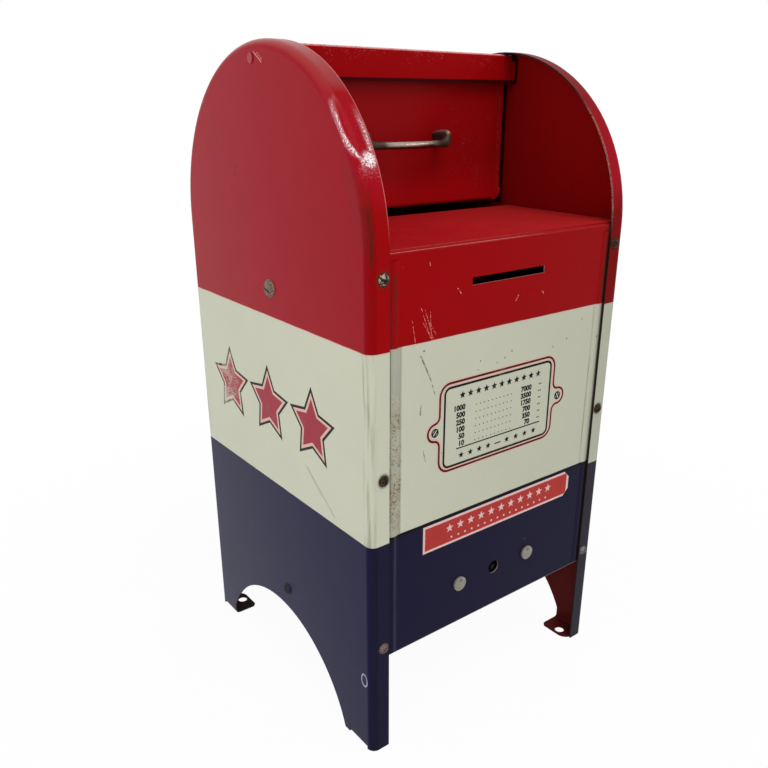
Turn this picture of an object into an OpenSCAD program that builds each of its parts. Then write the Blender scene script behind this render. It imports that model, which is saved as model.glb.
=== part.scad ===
// Tin money box in the form of a street letter box: two stamped side pans, a front panel that
// folds back into a shelf, a rear panel that rolls over into the roof, a hopper door that hangs
// under the roof, and a lockable trap in the floor.
// Millimetres. The origin is on the table under the middle of the box, the front faces -Y.

/* [Overall size] */
// Width over the two side panels
body_w = 114; // [106:1:126]
// Depth over the front and rear rims
body_d = 118; // [112:1:126]
// Height to the crown of the side panels
body_h = 235; // [225:1:255]

/* [Sheet metal] */
// Thickness of the tinned sheet
tin = 0.6; // [0.45:0.05:0.7]
// Gap between two sheets that lie side by side
seam = 0.1; // [0.05:0.05:0.15]
// Width of the rim turned in round each side panel
rim_w = 7.4; // [7:0.1:9]
// Outer radius of the bend between a side panel and its rim
rim_bend = 3; // [2.2:0.2:3.2]
// Outer radius of the folds in the other sheets
fold = 1.5; // [1.2:0.1:1.8]

/* [Legs] */
// Width of a leg at the table
leg_w = 14.4; // [13.4:0.2:17]
// Height of the arch
arch_h = 31.5; // [26:0.5:33]
// How far the arch sits off the middle, the other way round on the other side
arch_shift = 2.5; // [0:0.5:3]
// Reach of a foot tab, in from the side face
foot_tab_w = 10; // [9.5:0.5:13]
// Length of a foot tab, back from the outer face of the rim
foot_tab_len = 14; // [12:0.5:14]
// Outer radius of the bend into a foot tab
foot_bend = 1.6; // [1.2:0.2:2.4]
// Diameter of the hole in a foot tab
foot_hole_d = 4; // [3:0.2:4.6]
// Distance of a foot hole from the side face
foot_hole_in = 7; // [6.5:0.1:7.4]
// Distance of a foot hole from the front or rear rim
foot_hole_back = 6.5; // [5:0.5:7.5]

/* [Front and rear panels] */
// Height of their lower edge
skirt_z = 37.8; // [36:0.2:38.6]
// Height of the shelf above the centre of the round crown
shelf_rise = 1.7; // [1:0.1:3]
// How far the shelf's rear edge lies behind the middle of the box
shelf_back = 0.4; // [-1:0.1:1]
// Gap between the shelf's ends and the side panels
shelf_gap = 0.4; // [0.2:0.1:0.8]
// Width of the coin slot
coin_slot_w = 33; // [24:1:40]
// Height of the coin slot
coin_slot_h = 2.5; // [2:0.1:4]
// Distance from the shelf down to the middle of the coin slot
coin_slot_drop = 12.8; // [8:0.2:16]
// Width of the raised bead along each edge
bead_w = 3.2; // [2.4:0.2:3.6]
// Height of the bead
bead_h = 0.45; // [0.2:0.05:0.5]
// Distance from a rim's free edge to the crest of the bead
bead_in = 2.3; // [2.2:0.1:4]

/* [Header and hopper door] */
// How far the header stands in front of the middle of the box
header_ahead = 1.2; // [1:0.1:1.6]
// Height of the header's lower edge below the crown
header_drop = 11.2; // [9:0.2:11.6]
// How far the door's face lies behind the middle of the box
door_set = 2.2; // [2:0.1:2.4]
// Gap between the door's lower edge and the shelf
door_gap = 2.3; // [1.6:0.1:4]
// Gap between the door's sides and the side panels
door_side_gap = 1.8; // [1.2:0.1:2.6]
// Depth of the door's turned-back sides
cheek_d = 4; // [2.6:0.2:6]
// Radius of the door's lower corners
door_corner = 4; // [2.5:0.5:8]
// Height of the door's rod below the crown
rod_drop = 5.5; // [5:0.1:6.5]
// Diameter of the rod that the door hangs on
rod_d = 2.4; // [1.8:0.1:2.6]
// Running clearance of the door on its rod
rod_play = 0.05; // [0.03:0.01:0.08]

/* [Door handle] */
// Diameter of the grip
grip_d = 2.6; // [2:0.1:3.2]
// Distance between the two lugs
grip_span = 36.8; // [28:0.4:60]
// How far the middle of the grip bows forward of its ends
grip_bow = 2.5; // [1.5:0.1:5]
// Distance from the door's face to the ends of the grip
grip_reach = 7.6; // [6:0.2:10]
// Height of the grip above the shelf
grip_rise = 25; // [20:0.5:34]
// Thickness of a lug
lug_t = 1.3; // [1:0.1:2]
// Height of a lug above the middle of the grip
lug_h = 5; // [4.4:0.1:6]
// Height of a lug's tenon through the door
tenon_h = 4; // [3:0.2:4.4]

/* [Brace] */
// Distance from the shelf down to the brace's screws
brace_drop = 19.7; // [18:0.1:28]
// How far the brace's screws lie in front of the middle of the box
brace_ahead = 2; // [1:0.1:3]
// Width of the brace
brace_w = 12; // [10:0.5:14]
// Height of the brace's top above its screws
brace_rise = 5.6; // [4.6:0.1:6.4]

/* [Screws] */
// Diameter of the rim screws
rim_screw_d = 2.4; // [2:0.1:2.6]
// Diameter of their heads
rim_head_d = 4; // [4:0.1:5]
// Distance of the rim screws from the side face
rim_screw_in = 5.1; // [5:0.1:5.6]
// Height of the lowest rim screws
rim_screw_low = 43.2; // [42:0.1:44]
// Distance of the highest rim screws below the centre of the round crown
rim_screw_drop = 6; // [4.5:0.1:16]
// Length of the rim screws under their heads
rim_screw_l = 5.5; // [4:0.5:8]
// Height of their heads
rim_head_h = 1.2; // [1:0.1:1.4]
// Diameter of the brace screws
brace_screw_d = 3.2; // [2.6:0.1:3.5]
// Diameter of their heads
brace_head_d = 6.6; // [5.6:0.1:7.4]
// Length of the brace screws under their heads
brace_screw_l = 6.4; // [4.4:0.2:9]
// Height of their heads
brace_head_h = 1.8; // [1.4:0.1:2.2]
// Diameter of the floor screws
floor_screw_d = 2.4; // [2:0.1:2.8]
// Diameter of their heads
floor_head_d = 4.8; // [4:0.1:5.2]
// Length of the floor screws under their heads
floor_screw_l = 4.6; // [3:0.2:6]
// Height of their heads
floor_head_h = 1.3; // [1:0.1:1.6]
// Height of the floor screws
floor_screw_z = 39.4; // [38.8:0.1:41]
// How far the floor screws lie in front of the middle of the box
floor_screw_ahead = 3.7; // [0:0.1:6]
// Clearance between a screw and its hole
screw_play = 0.1; // [0.05:0.05:0.15]

/* [Floor and trap] */
// Height of the floor's top face
floor_z = 46; // [45.8:0.1:46.4]
// Length of the floor's turned-down sides
floor_side_h = 10.5; // [10:0.2:11.5]
// Distance from the catch's foot to the side of the trap
trap_side = 5.4; // [4.6:0.2:9.8]
// How far the trap laps under the floor's opening
trap_lap = 2.6; // [1.6:0.2:3]
// Clearance between the trap and the floor
trap_play = 0.3; // [0.2:0.05:0.35]
// Distance from the trap's front edge to its hinge
trap_l = 35.9; // [35:0.1:36]
// Depth of the trap's turned-down edges
trap_lip = 4.8; // [3:0.2:5]
// Diameter of the hinge wire
wire_d = 2; // [1.6:0.1:2.1]
// Running clearance round the hinge wire
wire_play = 0.06; // [0.03:0.01:0.08]
// Wall of a rolled knuckle
knuckle_t = 0.7; // [0.65:0.05:0.75]
// Length of a knuckle
knuckle_l = 14; // [10:0.5:14]
// Gap between two knuckles
knuckle_gap = 0.3; // [0.2:0.05:0.5]

/* [Lock] */
// Height of the key hole
lock_z = 55; // [54.8:0.1:55.4]
// Diameter of the key hole
key_hole_d = 5.2; // [4:0.2:7]
// Distance between the two lock screws
lock_screws = 34.8; // [33.6:0.2:35.2]
// Diameter of the lock screws
lock_screw_d = 3; // [2.5:0.1:3.1]
// Diameter of their heads
lock_head_d = 5.6; // [5.6:0.1:7.4]
// Height of their heads
lock_head_h = 0.9; // [0.7:0.1:1.2]
// Distance from a lock screw to the end of the lock case
case_end = 5; // [4.8:0.1:5.4]
// Height of the lock case
case_h = 15.6; // [15.2:0.1:16]
// Depth of the lock case
case_d = 9.4; // [9.2:0.1:9.6]
// Wall of the lock case
case_t = 0.8; // [0.6:0.1:1]
// Thickness of the bolt
bolt_t = 2; // [1.6:0.1:2.2]
// Height of the bolt's tongue
tongue_h = 6.4; // [6:0.1:6.6]
// Travel of the bolt
bolt_throw = 4.6; // [4:0.1:5]
// Clearance round the bolt
bolt_play = 0.2; // [0.1:0.05:0.25]
// Diameter of the post that the key turns on
key_post_d = 2; // [1.5:0.1:2.4]
// Thickness of the catch that the bolt passes through
catch_t = 1.2; // [0.8:0.1:1.4]

/* [Label] */
// Width of the stuck-on label
label_w = 73.8; // [60:0.2:80]
// Height of the label
label_h = 10.3; // [8:0.1:13]
// Distance of the label's middle to the right of the box's middle
label_off = 2.1; // [-4:0.1:4]
// Height of the label's lower edge
label_z = 73.3; // [68:0.1:90]
// Thickness of the label
label_t = 0.15; // [0.1:0.05:0.3]

/* [Hidden] */
$fn = 64;
over = 1;                                     // how far a cutter runs past what it cuts
root = 0.01;                                  // how far a screw's shank runs into its head
thread_play = 0.02;                           // clearance of a thread in its nut
part_gap = 0.3;                               // gap between parts that move past each other
slot_w = 0.7;                                 // width of a screw's slot

half_w = body_w / 2;
half_d = body_d / 2;
crown_z = body_h - half_d;                    // centre of the round crown
side_in = half_w - tin;                       // inner face of a side panel
panel_y = half_d - tin - seam;                // outer face of the front and rear panels
panel_half_w = half_w - rim_bend - seam;      // they stop short of the rim's bend
wide_half_w = side_in - shelf_gap;            // shelf and header reach the side panels
rim_edge = half_w - rim_w;                    // free edge of a rim
arch_half_w = half_d - leg_w;                 // half the width of the arch, at the table
arch_r = (arch_half_w * arch_half_w + arch_h * arch_h) / (2 * arch_h);
foot_tab_y = half_d - foot_tab_len;           // where the foot tabs begin
shelf_z = crown_z + shelf_rise;
coin_slot_z = shelf_z - coin_slot_drop;
bead_x = rim_edge - bead_in;
bead_r = (bead_w * bead_w / 4 + bead_h * bead_h) / (2 * bead_h);

brace_y = -brace_ahead;
brace_z = shelf_z - brace_drop;
brace_top = brace_z + brace_rise;
header_z = body_h - header_drop;
door_z = shelf_z + door_gap;
door_back = door_set + tin;
cheek_x = side_in - door_side_gap;            // outer face of the door's turned-back sides
rod_y = door_set + tin / 2;                   // the door's top is rolled centrally round the rod
rod_z = body_h - rod_drop;
roll_r = rod_d / 2 + rod_play + tin;
lip_y = tin - header_ahead + part_gap;        // the end of the roll stops against the header
grip_z = shelf_z + grip_rise;
lug_x = grip_span / 2;
tenon_z = grip_z - 0.1;                       // lower edge of the lugs' tenons
grip_y = door_set - grip_reach;               // ends of the grip
grip_r = (lug_x * lug_x + grip_bow * grip_bow) / (2 * grip_bow);

rim_screw_high = crown_z - rim_screw_drop;
rim_screw_zs = [rim_screw_low, (rim_screw_low + rim_screw_high) / 2, rim_screw_high];
rim_screw_x = half_w - rim_screw_in;

floor_half_w = side_in - seam;                // outer face of the floor's sides
floor_front = panel_y - tin - seam;           // outer face of the floor's front and rear edges
knuckle_r = wire_d / 2 + wire_play + knuckle_t;
hinge_z = floor_z - knuckle_r;
trap_top = floor_z - tin - trap_play;
bolt_tip = 0.2;                               // how far the drawn-back bolt stands out of the case
case_w = lock_screws + 2 * case_end;
catch_x = case_w / 2 + bolt_tip + 1;          // inner face of the catch
catch_foot = 10;                              // length of the catch's foot
trap_w = 2 * (catch_x + catch_foot + trap_side);
hem_clear = 1.1;                              // keeps the trap off the front panel as it swings
trap_front = -(floor_front - tin - hem_clear);
hinge_y = trap_front + trap_l;
trap_clear = knuckle_r + part_gap;            // a sheet's edge facing the other sheet's knuckle
knuckle_half = (knuckle_l - knuckle_gap) / 2;
floor_knuckles = [-2, 0, 2];
trap_knuckles = [-1, 1];

lock_y = -(panel_y - tin - seam);             // mouth of the lock case
case_back = lock_y + case_d;
bolt_y = case_back - case_t - bolt_play - bolt_t / 2;
case_in = case_w / 2 - case_t;
case_low = lock_z - case_h / 2 + case_t;      // inside faces of the lock case
case_high = lock_z + case_h / 2 - case_t;
bolt_low = case_low + bolt_play;
bolt_high = lock_z + tongue_h / 2;            // the bolt and its tongue share one upper edge
bolt_slot = lock_screw_d / 2 + screw_play;
lock_screw_x = lock_screws / 2;
nut_t = 2.2;                                  // thickness of the nuts
catch_h = 15.1;                               // height of the catch above the trap
catch_play = 0.4;                             // clearance of the bolt in the catch's slot
catch_strap = 1.5;                            // width of the strap each side of the slot
catch_half = bolt_t / 2 + catch_play + catch_strap;
foot_t = 0.8;                                 // thickness of the foot
rivet_d = 2;                                  // the catch's two rivets
rivet_head_h = 0.7;
rivet_head_r = 0.85 * rivet_d;
rivet_xs = [for (i = [0, 1]) catch_x + catch_t + 1.3 * rivet_d + 2 * rivet_d * i];

steel = "#8c857c";
nickel = "#a39a8d";
red = "#a01820";

// ---------- helpers ----------

module at_both() { children(); mirror([1, 0, 0]) children(); }

// box between two corners
module block(low, high) { translate(low) cube(high - low); }

// round bar along X, Y or Z, from one end to the other
module bar_x(y, z, x0, x1, r) { translate([x0, y, z]) rotate([0, 90, 0]) cylinder(h = x1 - x0, r = r); }
module bar_y(x, z, y0, y1, r) { translate([x, y0, z]) rotate([-90, 0, 0]) cylinder(h = y1 - y0, r = r); }

// curved sheet about an axis along X: a0 and a1 turn from +Y towards +Z
module roll_x(y, z, r, a0, a1, half) {
  translate([-half, y, z]) rotate([90, 0, 90]) rotate([0, 0, a0])
    rotate_extrude(angle = a1 - a0) translate([r - tin, 0]) square([tin, 2 * half]);
}

// curved sheet about an axis along Y: a0 and a1 turn from +X towards +Z
module roll_y(x, z, r, a0, a1, y0, y1) {
  translate([x, y1, z]) rotate([90, 0, 0]) rotate([0, 0, a0])
    rotate_extrude(angle = a1 - a0) translate([r - tin, 0]) square([tin, y1 - y0]);
}

// curved sheet about an axis along Z: a0 and a1 turn from +X towards +Y
module roll_z(x, y, r, a0, a1, z0, z1) {
  translate([x, y, z0]) rotate([0, 0, a0])
    rotate_extrude(angle = a1 - a0) translate([r - tin, 0]) square([tin, z1 - z0]);
}

// slotted screw along +Z: the underside of its domed head is at the origin, the shank runs down
module screw(head_d, head_h, d, length, turn) {
  dome = 0.55 * head_h;
  dome_r = (head_d * head_d / 4 + dome * dome) / (2 * dome);
  difference() {
    intersection() {
      cylinder(h = head_h, r = head_d / 2);
      translate([0, 0, head_h - dome_r]) sphere(r = dome_r);
    }
    rotate([0, 0, turn]) block([-head_d, -slot_w / 2, head_h / 2], [head_d, slot_w / 2, head_h + over]);
  }
  translate([0, 0, -length + d / 2]) cylinder(h = length - d / 2 + root, r = d / 2);
  translate([0, 0, -length]) cylinder(h = d / 2 + root, r1 = d / 5, r2 = d / 2);
}

// the same screw with its head facing the front or the left side
module screw_front(x, z, y, head_d, head_h, d, length, turn)
  { translate([x, y, z]) rotate([90, 0, 0]) screw(head_d, head_h, d, length, turn); }
module screw_left(y, z, x, head_d, head_h, d, length, turn)
  { translate([x, y, z]) rotate([0, -90, 0]) screw(head_d, head_h, d, length, turn); }

// six-sided nut along +Z on a screw of diameter d
module nut(d, h) {
  difference() {
    cylinder(h = h, r = 1.1 * d, $fn = 6);
    translate([0, 0, -over]) cylinder(h = h + 2 * over, r = d / 2 + thread_play);
  }
}

// ---------- side panels ----------

// outline of a pan cut from its middle to its rim: across is the distance from the middle
module pan_section(inset, reach) {
  translate([0, inset]) square([half_d - rim_bend, reach - inset]);
  translate([0, rim_bend]) square([half_d - inset, reach - rim_bend]);
  translate([half_d - rim_bend, rim_bend]) circle(r = rim_bend - inset);
}

// solid of a pan's outer or inner form, with its face towards -X
module pan_form(inset, reach, bottom) {
  translate([-half_w, 0, crown_z]) rotate([90, 0, 90])
    rotate_extrude(angle = 180) pan_section(inset, reach);
  for (side = [0, 1]) mirror([0, side, 0])
    translate([-half_w, 0, bottom]) linear_extrude(crown_z - bottom)
      mirror([1, -1, 0]) pan_section(inset, reach);
}

// foot tab at the rear leg: the side face bends in under the leg and meets the rim
module foot_tab() {
  corner = 1.2;   // cut off the corner by the arch
  round_r = 4.4;  // radius of the corner by the rim
  x0 = -half_w + foot_bend;
  x1 = -half_w + foot_tab_w;
  round_y = half_d - tin - round_r;
  roll_y(x0, foot_bend, foot_bend, 180, 270, foot_tab_y, half_d - rim_bend);
  difference() {
    linear_extrude(tin) polygon([[x0, foot_tab_y], [x1 - corner, foot_tab_y], [x1, foot_tab_y + corner],
      [x1, half_d], [-half_w + rim_bend, half_d], [x0, half_d - rim_bend]]);
    difference() {
      block([x1 - round_r, round_y, -over], [x1 + over, half_d + over, tin + over]);
      translate([x1 - round_r, round_y, -2 * over]) cylinder(h = tin + 4 * over, r = round_r);
    }
  }
}

// a side panel with its face towards -X
module side_pan(shift) {
  difference() {
    pan_form(0, rim_w, 0);
    pan_form(tin, rim_w + over, -over);
    intersection() {
      bar_x(shift, arch_h - arch_r, -half_w - over, -half_w + tin + over, arch_r);
      block([-half_w - 2 * over, -foot_tab_y, -over], [-side_in + 2 * over, foot_tab_y, arch_h + over]);
    }
    for (side = [0, 1]) mirror([0, side, 0])
      block([-half_w - over, foot_tab_y, -over], [-half_w + foot_bend, half_d - rim_bend, foot_bend]);
    for (z = rim_screw_zs)
      bar_y(-rim_screw_x, z, -half_d - over, half_d + over, rim_screw_d / 2 + screw_play);
    bar_x(brace_y, brace_z, -half_w - over, -side_in + over, brace_screw_d / 2 + screw_play);
    bar_x(-floor_screw_ahead, floor_screw_z, -half_w - over, -side_in + over,
      floor_screw_d / 2 + screw_play);
    bar_x(rod_y, rod_z, -half_w - over, -side_in + over, rod_d / 2 + rod_play);
  }
  for (side = [0, 1]) mirror([0, side, 0]) difference() {
    foot_tab();
    translate([-half_w + foot_hole_in, half_d - foot_hole_back, -over])
      cylinder(h = tin + 2 * over, r = foot_hole_d / 2);
  }
}

module left_side_panel() { color(red) side_pan(arch_shift); }
module right_side_panel() { color(red) mirror([1, 0, 0]) side_pan(-arch_shift); }

// ---------- front and rear panels ----------

// upright sheet behind the front rims, with its hem and its two beads; z1 is where it ends
module upright_sheet(z1) {
  difference() {
    union() {
      block([-panel_half_w, -panel_y, skirt_z + fold], [panel_half_w, -panel_y + tin, z1]);
      roll_x(-panel_y + fold, skirt_z + fold, fold, 180, 270, panel_half_w);
      at_both() intersection() {
        translate([bead_x, -panel_y - bead_h + bead_r, skirt_z + fold])
          cylinder(h = z1 - skirt_z - 2 * fold, r = bead_r);
        block([0, -panel_y - bead_h - over, 0], [half_w, -panel_y + tin / 2, body_h]);
      }
    }
    at_both() translate([bead_x, -panel_y - bead_h + bead_r, skirt_z + fold + tin])
      cylinder(h = z1 - skirt_z - 2 * fold - 2 * tin, r = bead_r - tin);
    for (x = [-rim_screw_x, rim_screw_x], z = rim_screw_zs)
      bar_y(x, z, -panel_y - over, -panel_y + tin + over, rim_screw_d / 2 + screw_play / 2);
  }
}

module front_panel() {
  bend_z = shelf_z - fold;
  bend_y = -panel_y + fold;
  lip_bend_y = shelf_back - fold;
  shelf_front = -(half_d - rim_bend - seam);  // the wide part starts behind the rims' bend
  color(red) {
    difference() {
      upright_sheet(bend_z);
      block([-coin_slot_w / 2, -panel_y - over, coin_slot_z - coin_slot_h / 2],
        [coin_slot_w / 2, -panel_y + tin + over, coin_slot_z + coin_slot_h / 2]);
      bar_y(0, lock_z, -panel_y - over, -panel_y + tin + over, key_hole_d / 2);
      for (x = [-lock_screw_x, lock_screw_x])
        bar_y(x, lock_z, -panel_y - over, -panel_y + tin + over, lock_screw_d / 2 + screw_play);
    }
    roll_x(bend_y, bend_z, fold, 90, 180, panel_half_w);
    block([-panel_half_w, bend_y, shelf_z - tin], [panel_half_w, lip_bend_y, shelf_z]);
    block([-wide_half_w, shelf_front, shelf_z - tin], [wide_half_w, lip_bend_y, shelf_z]);
    roll_x(lip_bend_y, bend_z, fold, 0, 90, wide_half_w);
    block([-wide_half_w, shelf_back - tin, brace_top + seam], [wide_half_w, shelf_back, bend_z]);
  }
}

// the roof rolls over to the middle of the box and folds sharply down into the header
module rear_panel() {
  fold_z = crown_z + panel_y - header_ahead;
  wide_top = crown_z + half_d - rim_bend - seam;
  color(red) {
    mirror([0, 1, 0]) upright_sheet(crown_z);
    roll_x(0, crown_z, panel_y, 0, 90, panel_half_w);
    roll_x(0, fold_z, header_ahead, 90, 180, panel_half_w);
    block([-panel_half_w, -header_ahead, header_z], [panel_half_w, -header_ahead + tin, fold_z]);
    block([-wide_half_w, -header_ahead, header_z], [wide_half_w, -header_ahead + tin, wide_top]);
  }
}

// ---------- floor ----------

// one rolled knuckle, its middle k knuckle lengths from the middle of the hinge
module knuckle(k) {
  bar_x(hinge_y, hinge_z, k * knuckle_l - knuckle_half, k * knuckle_l + knuckle_half, knuckle_r);
}

module floor_plate() {
  side_end = half_d - rim_bend - 1;           // the sides stop short of the rims' bends
  open_x = trap_w / 2 - trap_lap;
  open_front = trap_front + trap_lap;
  open_back = hinge_y + trap_clear;
  catch_room = 0.8;                           // room round the catch where it comes up
  front_end = panel_half_w - 0.4;
  x_fold = floor_half_w - fold;
  y_fold = floor_front - fold;
  low_z = skirt_z + fold + seam;              // the front and rear edges stop above the hem
  color(steel) difference() {
    union() {
      difference() {
        union() {
          block([-x_fold, -side_end, floor_z - tin], [x_fold, side_end, floor_z]);
          block([-front_end, -y_fold, floor_z - tin], [front_end, y_fold, floor_z]);
        }
        block([-open_x, open_front, floor_z - tin - over], [open_x, open_back, floor_z + over]);
        block([catch_x - catch_room, trap_front - catch_room, floor_z - tin - over],
          [catch_x + catch_t + catch_room, open_front + over, floor_z + over]);
      }
      at_both() {
        roll_y(x_fold, floor_z - fold, fold, 0, 90, -side_end, side_end);
        block([floor_half_w - tin, -side_end, floor_z - floor_side_h],
          [floor_half_w, side_end, floor_z - fold]);
      }
      for (side = [0, 1]) mirror([0, side, 0]) {
        roll_x(y_fold, floor_z - fold, fold, 0, 90, front_end);
        block([-front_end, floor_front - tin, low_z], [front_end, floor_front, floor_z - fold]);
      }
      for (k = floor_knuckles) {
        knuckle(k);
        block([k * knuckle_l - knuckle_half, hinge_y + part_gap, floor_z - tin],
          [k * knuckle_l + knuckle_half, open_back + over, floor_z]);
      }
    }
    bar_x(hinge_y, hinge_z, -half_w, half_w, wire_d / 2 + wire_play);
    for (x = [-rim_screw_x, rim_screw_x])
      bar_y(x, rim_screw_low, -half_d, half_d, rim_screw_d / 2 + screw_play / 2);
    bar_x(-floor_screw_ahead, floor_screw_z, -half_w, half_w, floor_screw_d / 2 + screw_play / 2);
  }
}

// ---------- brace ----------

module cross_brace() {
  y0 = brace_y - brace_w / 2;
  y1 = brace_y + brace_w / 2;
  end_fold = floor_half_w - fold;
  side_h = brace_rise + 4.6;                  // the ends reach below the screws
  flange_end = end_fold - 1;
  color(steel) difference() {
    union() {
      block([-end_fold, y0 + fold, brace_top - tin], [end_fold, y1 - fold, brace_top]);
      at_both() {
        roll_y(end_fold, brace_top - fold, fold, 0, 90, y0 + fold, y1 - fold);
        block([floor_half_w - tin, y0 + fold, brace_top - side_h],
          [floor_half_w, y1 - fold, brace_top - fold]);
      }
      roll_x(y1 - fold, brace_top - fold, fold, 0, 90, flange_end);
      roll_x(y0 + fold, brace_top - fold, fold, 90, 180, flange_end);
      block([-flange_end, y1 - tin, brace_top - side_h], [flange_end, y1, brace_top - fold]);
      block([-flange_end, y0, brace_top - side_h], [flange_end, y0 + tin, brace_top - fold]);
    }
    bar_x(brace_y, brace_z, -half_w, half_w, brace_screw_d / 2 + screw_play);
  }
}

module brace_screws() {
  color(nickel) at_both()
    screw_left(brace_y, brace_z, -half_w, brace_head_d, brace_head_h, brace_screw_d, brace_screw_l, 35);
}

module brace_nuts() {
  color(nickel) at_both() translate([-floor_half_w + tin, brace_y, brace_z]) rotate([0, 90, 0])
    nut(brace_screw_d, nut_t);
}

// ---------- rim and floor screws ----------

module rim_screws() {
  turns = [40, 95, 150, 70, 20, -30];         // how each slot happens to stand
  for (i = [0 : 2], side = [0, 1])
    screw_front((2 * side - 1) * rim_screw_x, rim_screw_zs[i], -half_d, rim_head_d, rim_head_h,
      rim_screw_d, rim_screw_l, turns[i + 3 * side]);
}

module front_rim_screws() { color(nickel) rim_screws(); }
module rear_rim_screws() { color(nickel) mirror([0, 1, 0]) rim_screws(); }

module floor_screws() {
  color(nickel) at_both()
    screw_left(-floor_screw_ahead, floor_screw_z, -half_w, floor_head_d, floor_head_h, floor_screw_d,
      floor_screw_l, 20);
}

// ---------- hopper door ----------

module hopper_door() {
  bend_x = cheek_x - fold;
  corner_x = cheek_x - door_corner;
  corner_z = door_z + door_corner;
  cheek_low = corner_z + 0.5;
  cheek_top = rod_z - roll_r - 1;
  hem = 3;
  color(red) difference() {
    union() {
      // face, with round lower corners under the turned-back sides
      block([-bend_x, door_set, corner_z], [bend_x, door_back, rod_z]);
      block([-corner_x, door_set, door_z + fold], [corner_x, door_back, corner_z]);
      at_both() {
        intersection() {
          bar_y(corner_x, corner_z, door_set, door_back, door_corner);
          block([corner_x - over, door_set, door_z], [cheek_x, door_back, corner_z]);
        }
        block([bend_x - over, door_set, corner_z], [cheek_x, door_back, cheek_low]);
        roll_z(bend_x, door_set + fold, fold, 270, 360, cheek_low, cheek_top);
        block([cheek_x - tin, door_set + fold, cheek_low], [cheek_x, door_set + cheek_d, cheek_top]);
      }
      // hem along the bottom
      roll_x(door_set + fold, door_z + fold, fold, 180, 270, corner_x);
      block([-corner_x, door_set + fold, door_z], [corner_x, door_set + hem, door_z + tin]);
      // the top rolls back over the rod and ends in a lip towards the header
      bar_x(rod_y, rod_z, -cheek_x, cheek_x, roll_r);
      block([-cheek_x, lip_y, rod_z + roll_r - tin], [cheek_x, rod_y, rod_z + roll_r]);
    }
    bar_x(rod_y, rod_z, -half_w, half_w, rod_d / 2 + rod_play);
    at_both() block([lug_x - lug_t / 2 - seam / 2, door_set - over, tenon_z - seam / 2],
      [lug_x + lug_t / 2 + seam / 2, door_back + over, tenon_z + tenon_h + seam / 2]);
  }
}

// the lugs stand up behind the grip, and their tenons are headed over inside the door
module door_handle() {
  low = grip_z - grip_d / 2;
  front = grip_y - grip_d / 2 - 0.2;
  spread = 0.5;                               // how far a tenon's head spreads
  head_t = 0.7;
  color(nickel) {
    translate([0, grip_y - grip_bow + grip_r, grip_z])
      rotate([0, 0, 270 - asin(lug_x / grip_r)]) rotate_extrude(angle = 2 * asin(lug_x / grip_r), $fn = 180)
        translate([grip_r, 0]) circle(r = grip_d / 2);
    at_both() {
      translate([lug_x - lug_t / 2, 0, 0]) rotate([90, 0, 90]) linear_extrude(lug_t)
        polygon([[front, low], [front, grip_z + lug_h], [front + 0.8, grip_z + lug_h + 0.8],
          [door_set - 1, grip_z + lug_h - 0.3], [door_set, grip_z + lug_h - 0.7],
          [door_set, grip_z - 0.6], [front + 3, low]]);
      block([lug_x - lug_t / 2, door_set, tenon_z], [lug_x + lug_t / 2, door_back, tenon_z + tenon_h]);
      block([lug_x - lug_t / 2 - spread, door_back, tenon_z - spread],
        [lug_x + lug_t / 2 + spread, door_back + head_t, tenon_z + tenon_h + spread]);
    }
  }
}

// the door's rod runs through both side panels and is headed over outside
module door_rod() {
  head_t = 0.35;
  spread = 0.4;
  color(nickel) {
    bar_x(rod_y, rod_z, -half_w, half_w, rod_d / 2);
    at_both() bar_x(rod_y, rod_z, half_w, half_w + head_t, rod_d / 2 + spread);
  }
}

module door_washers() {
  end_play = 0.2;
  color(nickel) at_both() difference() {
    bar_x(rod_y, rod_z, cheek_x + end_play, side_in - seam, roll_r + 0.3);
    bar_x(rod_y, rod_z, cheek_x, side_in, rod_d / 2 + rod_play);
  }
}

// ---------- trap ----------

module trap_door() {
  half = trap_w / 2;
  low = trap_top - trap_lip;
  sheet_end = hinge_y - trap_clear;
  notch = 0.2;                                // corner notch between two turned-down edges
  front_end = half - fold - notch;
  side_front = trap_front + fold + notch;
  color(steel) difference() {
    union() {
      block([-half + fold, trap_front + fold, trap_top - tin], [half - fold, sheet_end, trap_top]);
      roll_x(trap_front + fold, trap_top - fold, fold, 90, 180, front_end);
      block([-front_end, trap_front, low], [front_end, trap_front + tin, trap_top - fold]);
      at_both() {
        roll_y(half - fold, trap_top - fold, fold, 0, 90, side_front, sheet_end);
        block([half - tin, side_front, low], [half, sheet_end, trap_top - fold]);
      }
      for (k = trap_knuckles) {
        knuckle(k);
        block([k * knuckle_l - knuckle_half, sheet_end - over, trap_top - tin],
          [k * knuckle_l + knuckle_half, hinge_y - knuckle_r + knuckle_t / 2, trap_top]);
      }
    }
    bar_x(hinge_y, hinge_z, -half_w, half_w, wire_d / 2 + wire_play);
    for (x = rivet_xs) translate([x, bolt_y, trap_top - tin - over])
      cylinder(h = tin + 2 * over, r = rivet_d / 2);
  }
}

// L-shaped catch: its nose follows a circle about the hinge, so it swings clear of the panel
module trap_catch() {
  slot_h = tongue_h / 2 + catch_play;
  color(nickel) difference() {
    intersection() {
      union() {
        block([catch_x, bolt_y - catch_half, trap_top],
          [catch_x + catch_t, bolt_y + catch_half, trap_top + catch_h]);
        block([catch_x, bolt_y - catch_half, trap_top],
          [catch_x + catch_foot, bolt_y + catch_half, trap_top + foot_t]);
      }
      bar_x(hinge_y, hinge_z, catch_x - over, catch_x + catch_foot + over, trap_l + 0.5);
    }
    block([catch_x - over, bolt_y - bolt_t / 2 - catch_play, lock_z - slot_h],
      [catch_x + catch_t + over, bolt_y + bolt_t / 2 + catch_play, lock_z + slot_h]);
    for (x = rivet_xs) translate([x, bolt_y, trap_top - over])
      cylinder(h = foot_t + 2 * over, r = rivet_d / 2);
  }
}

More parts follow.
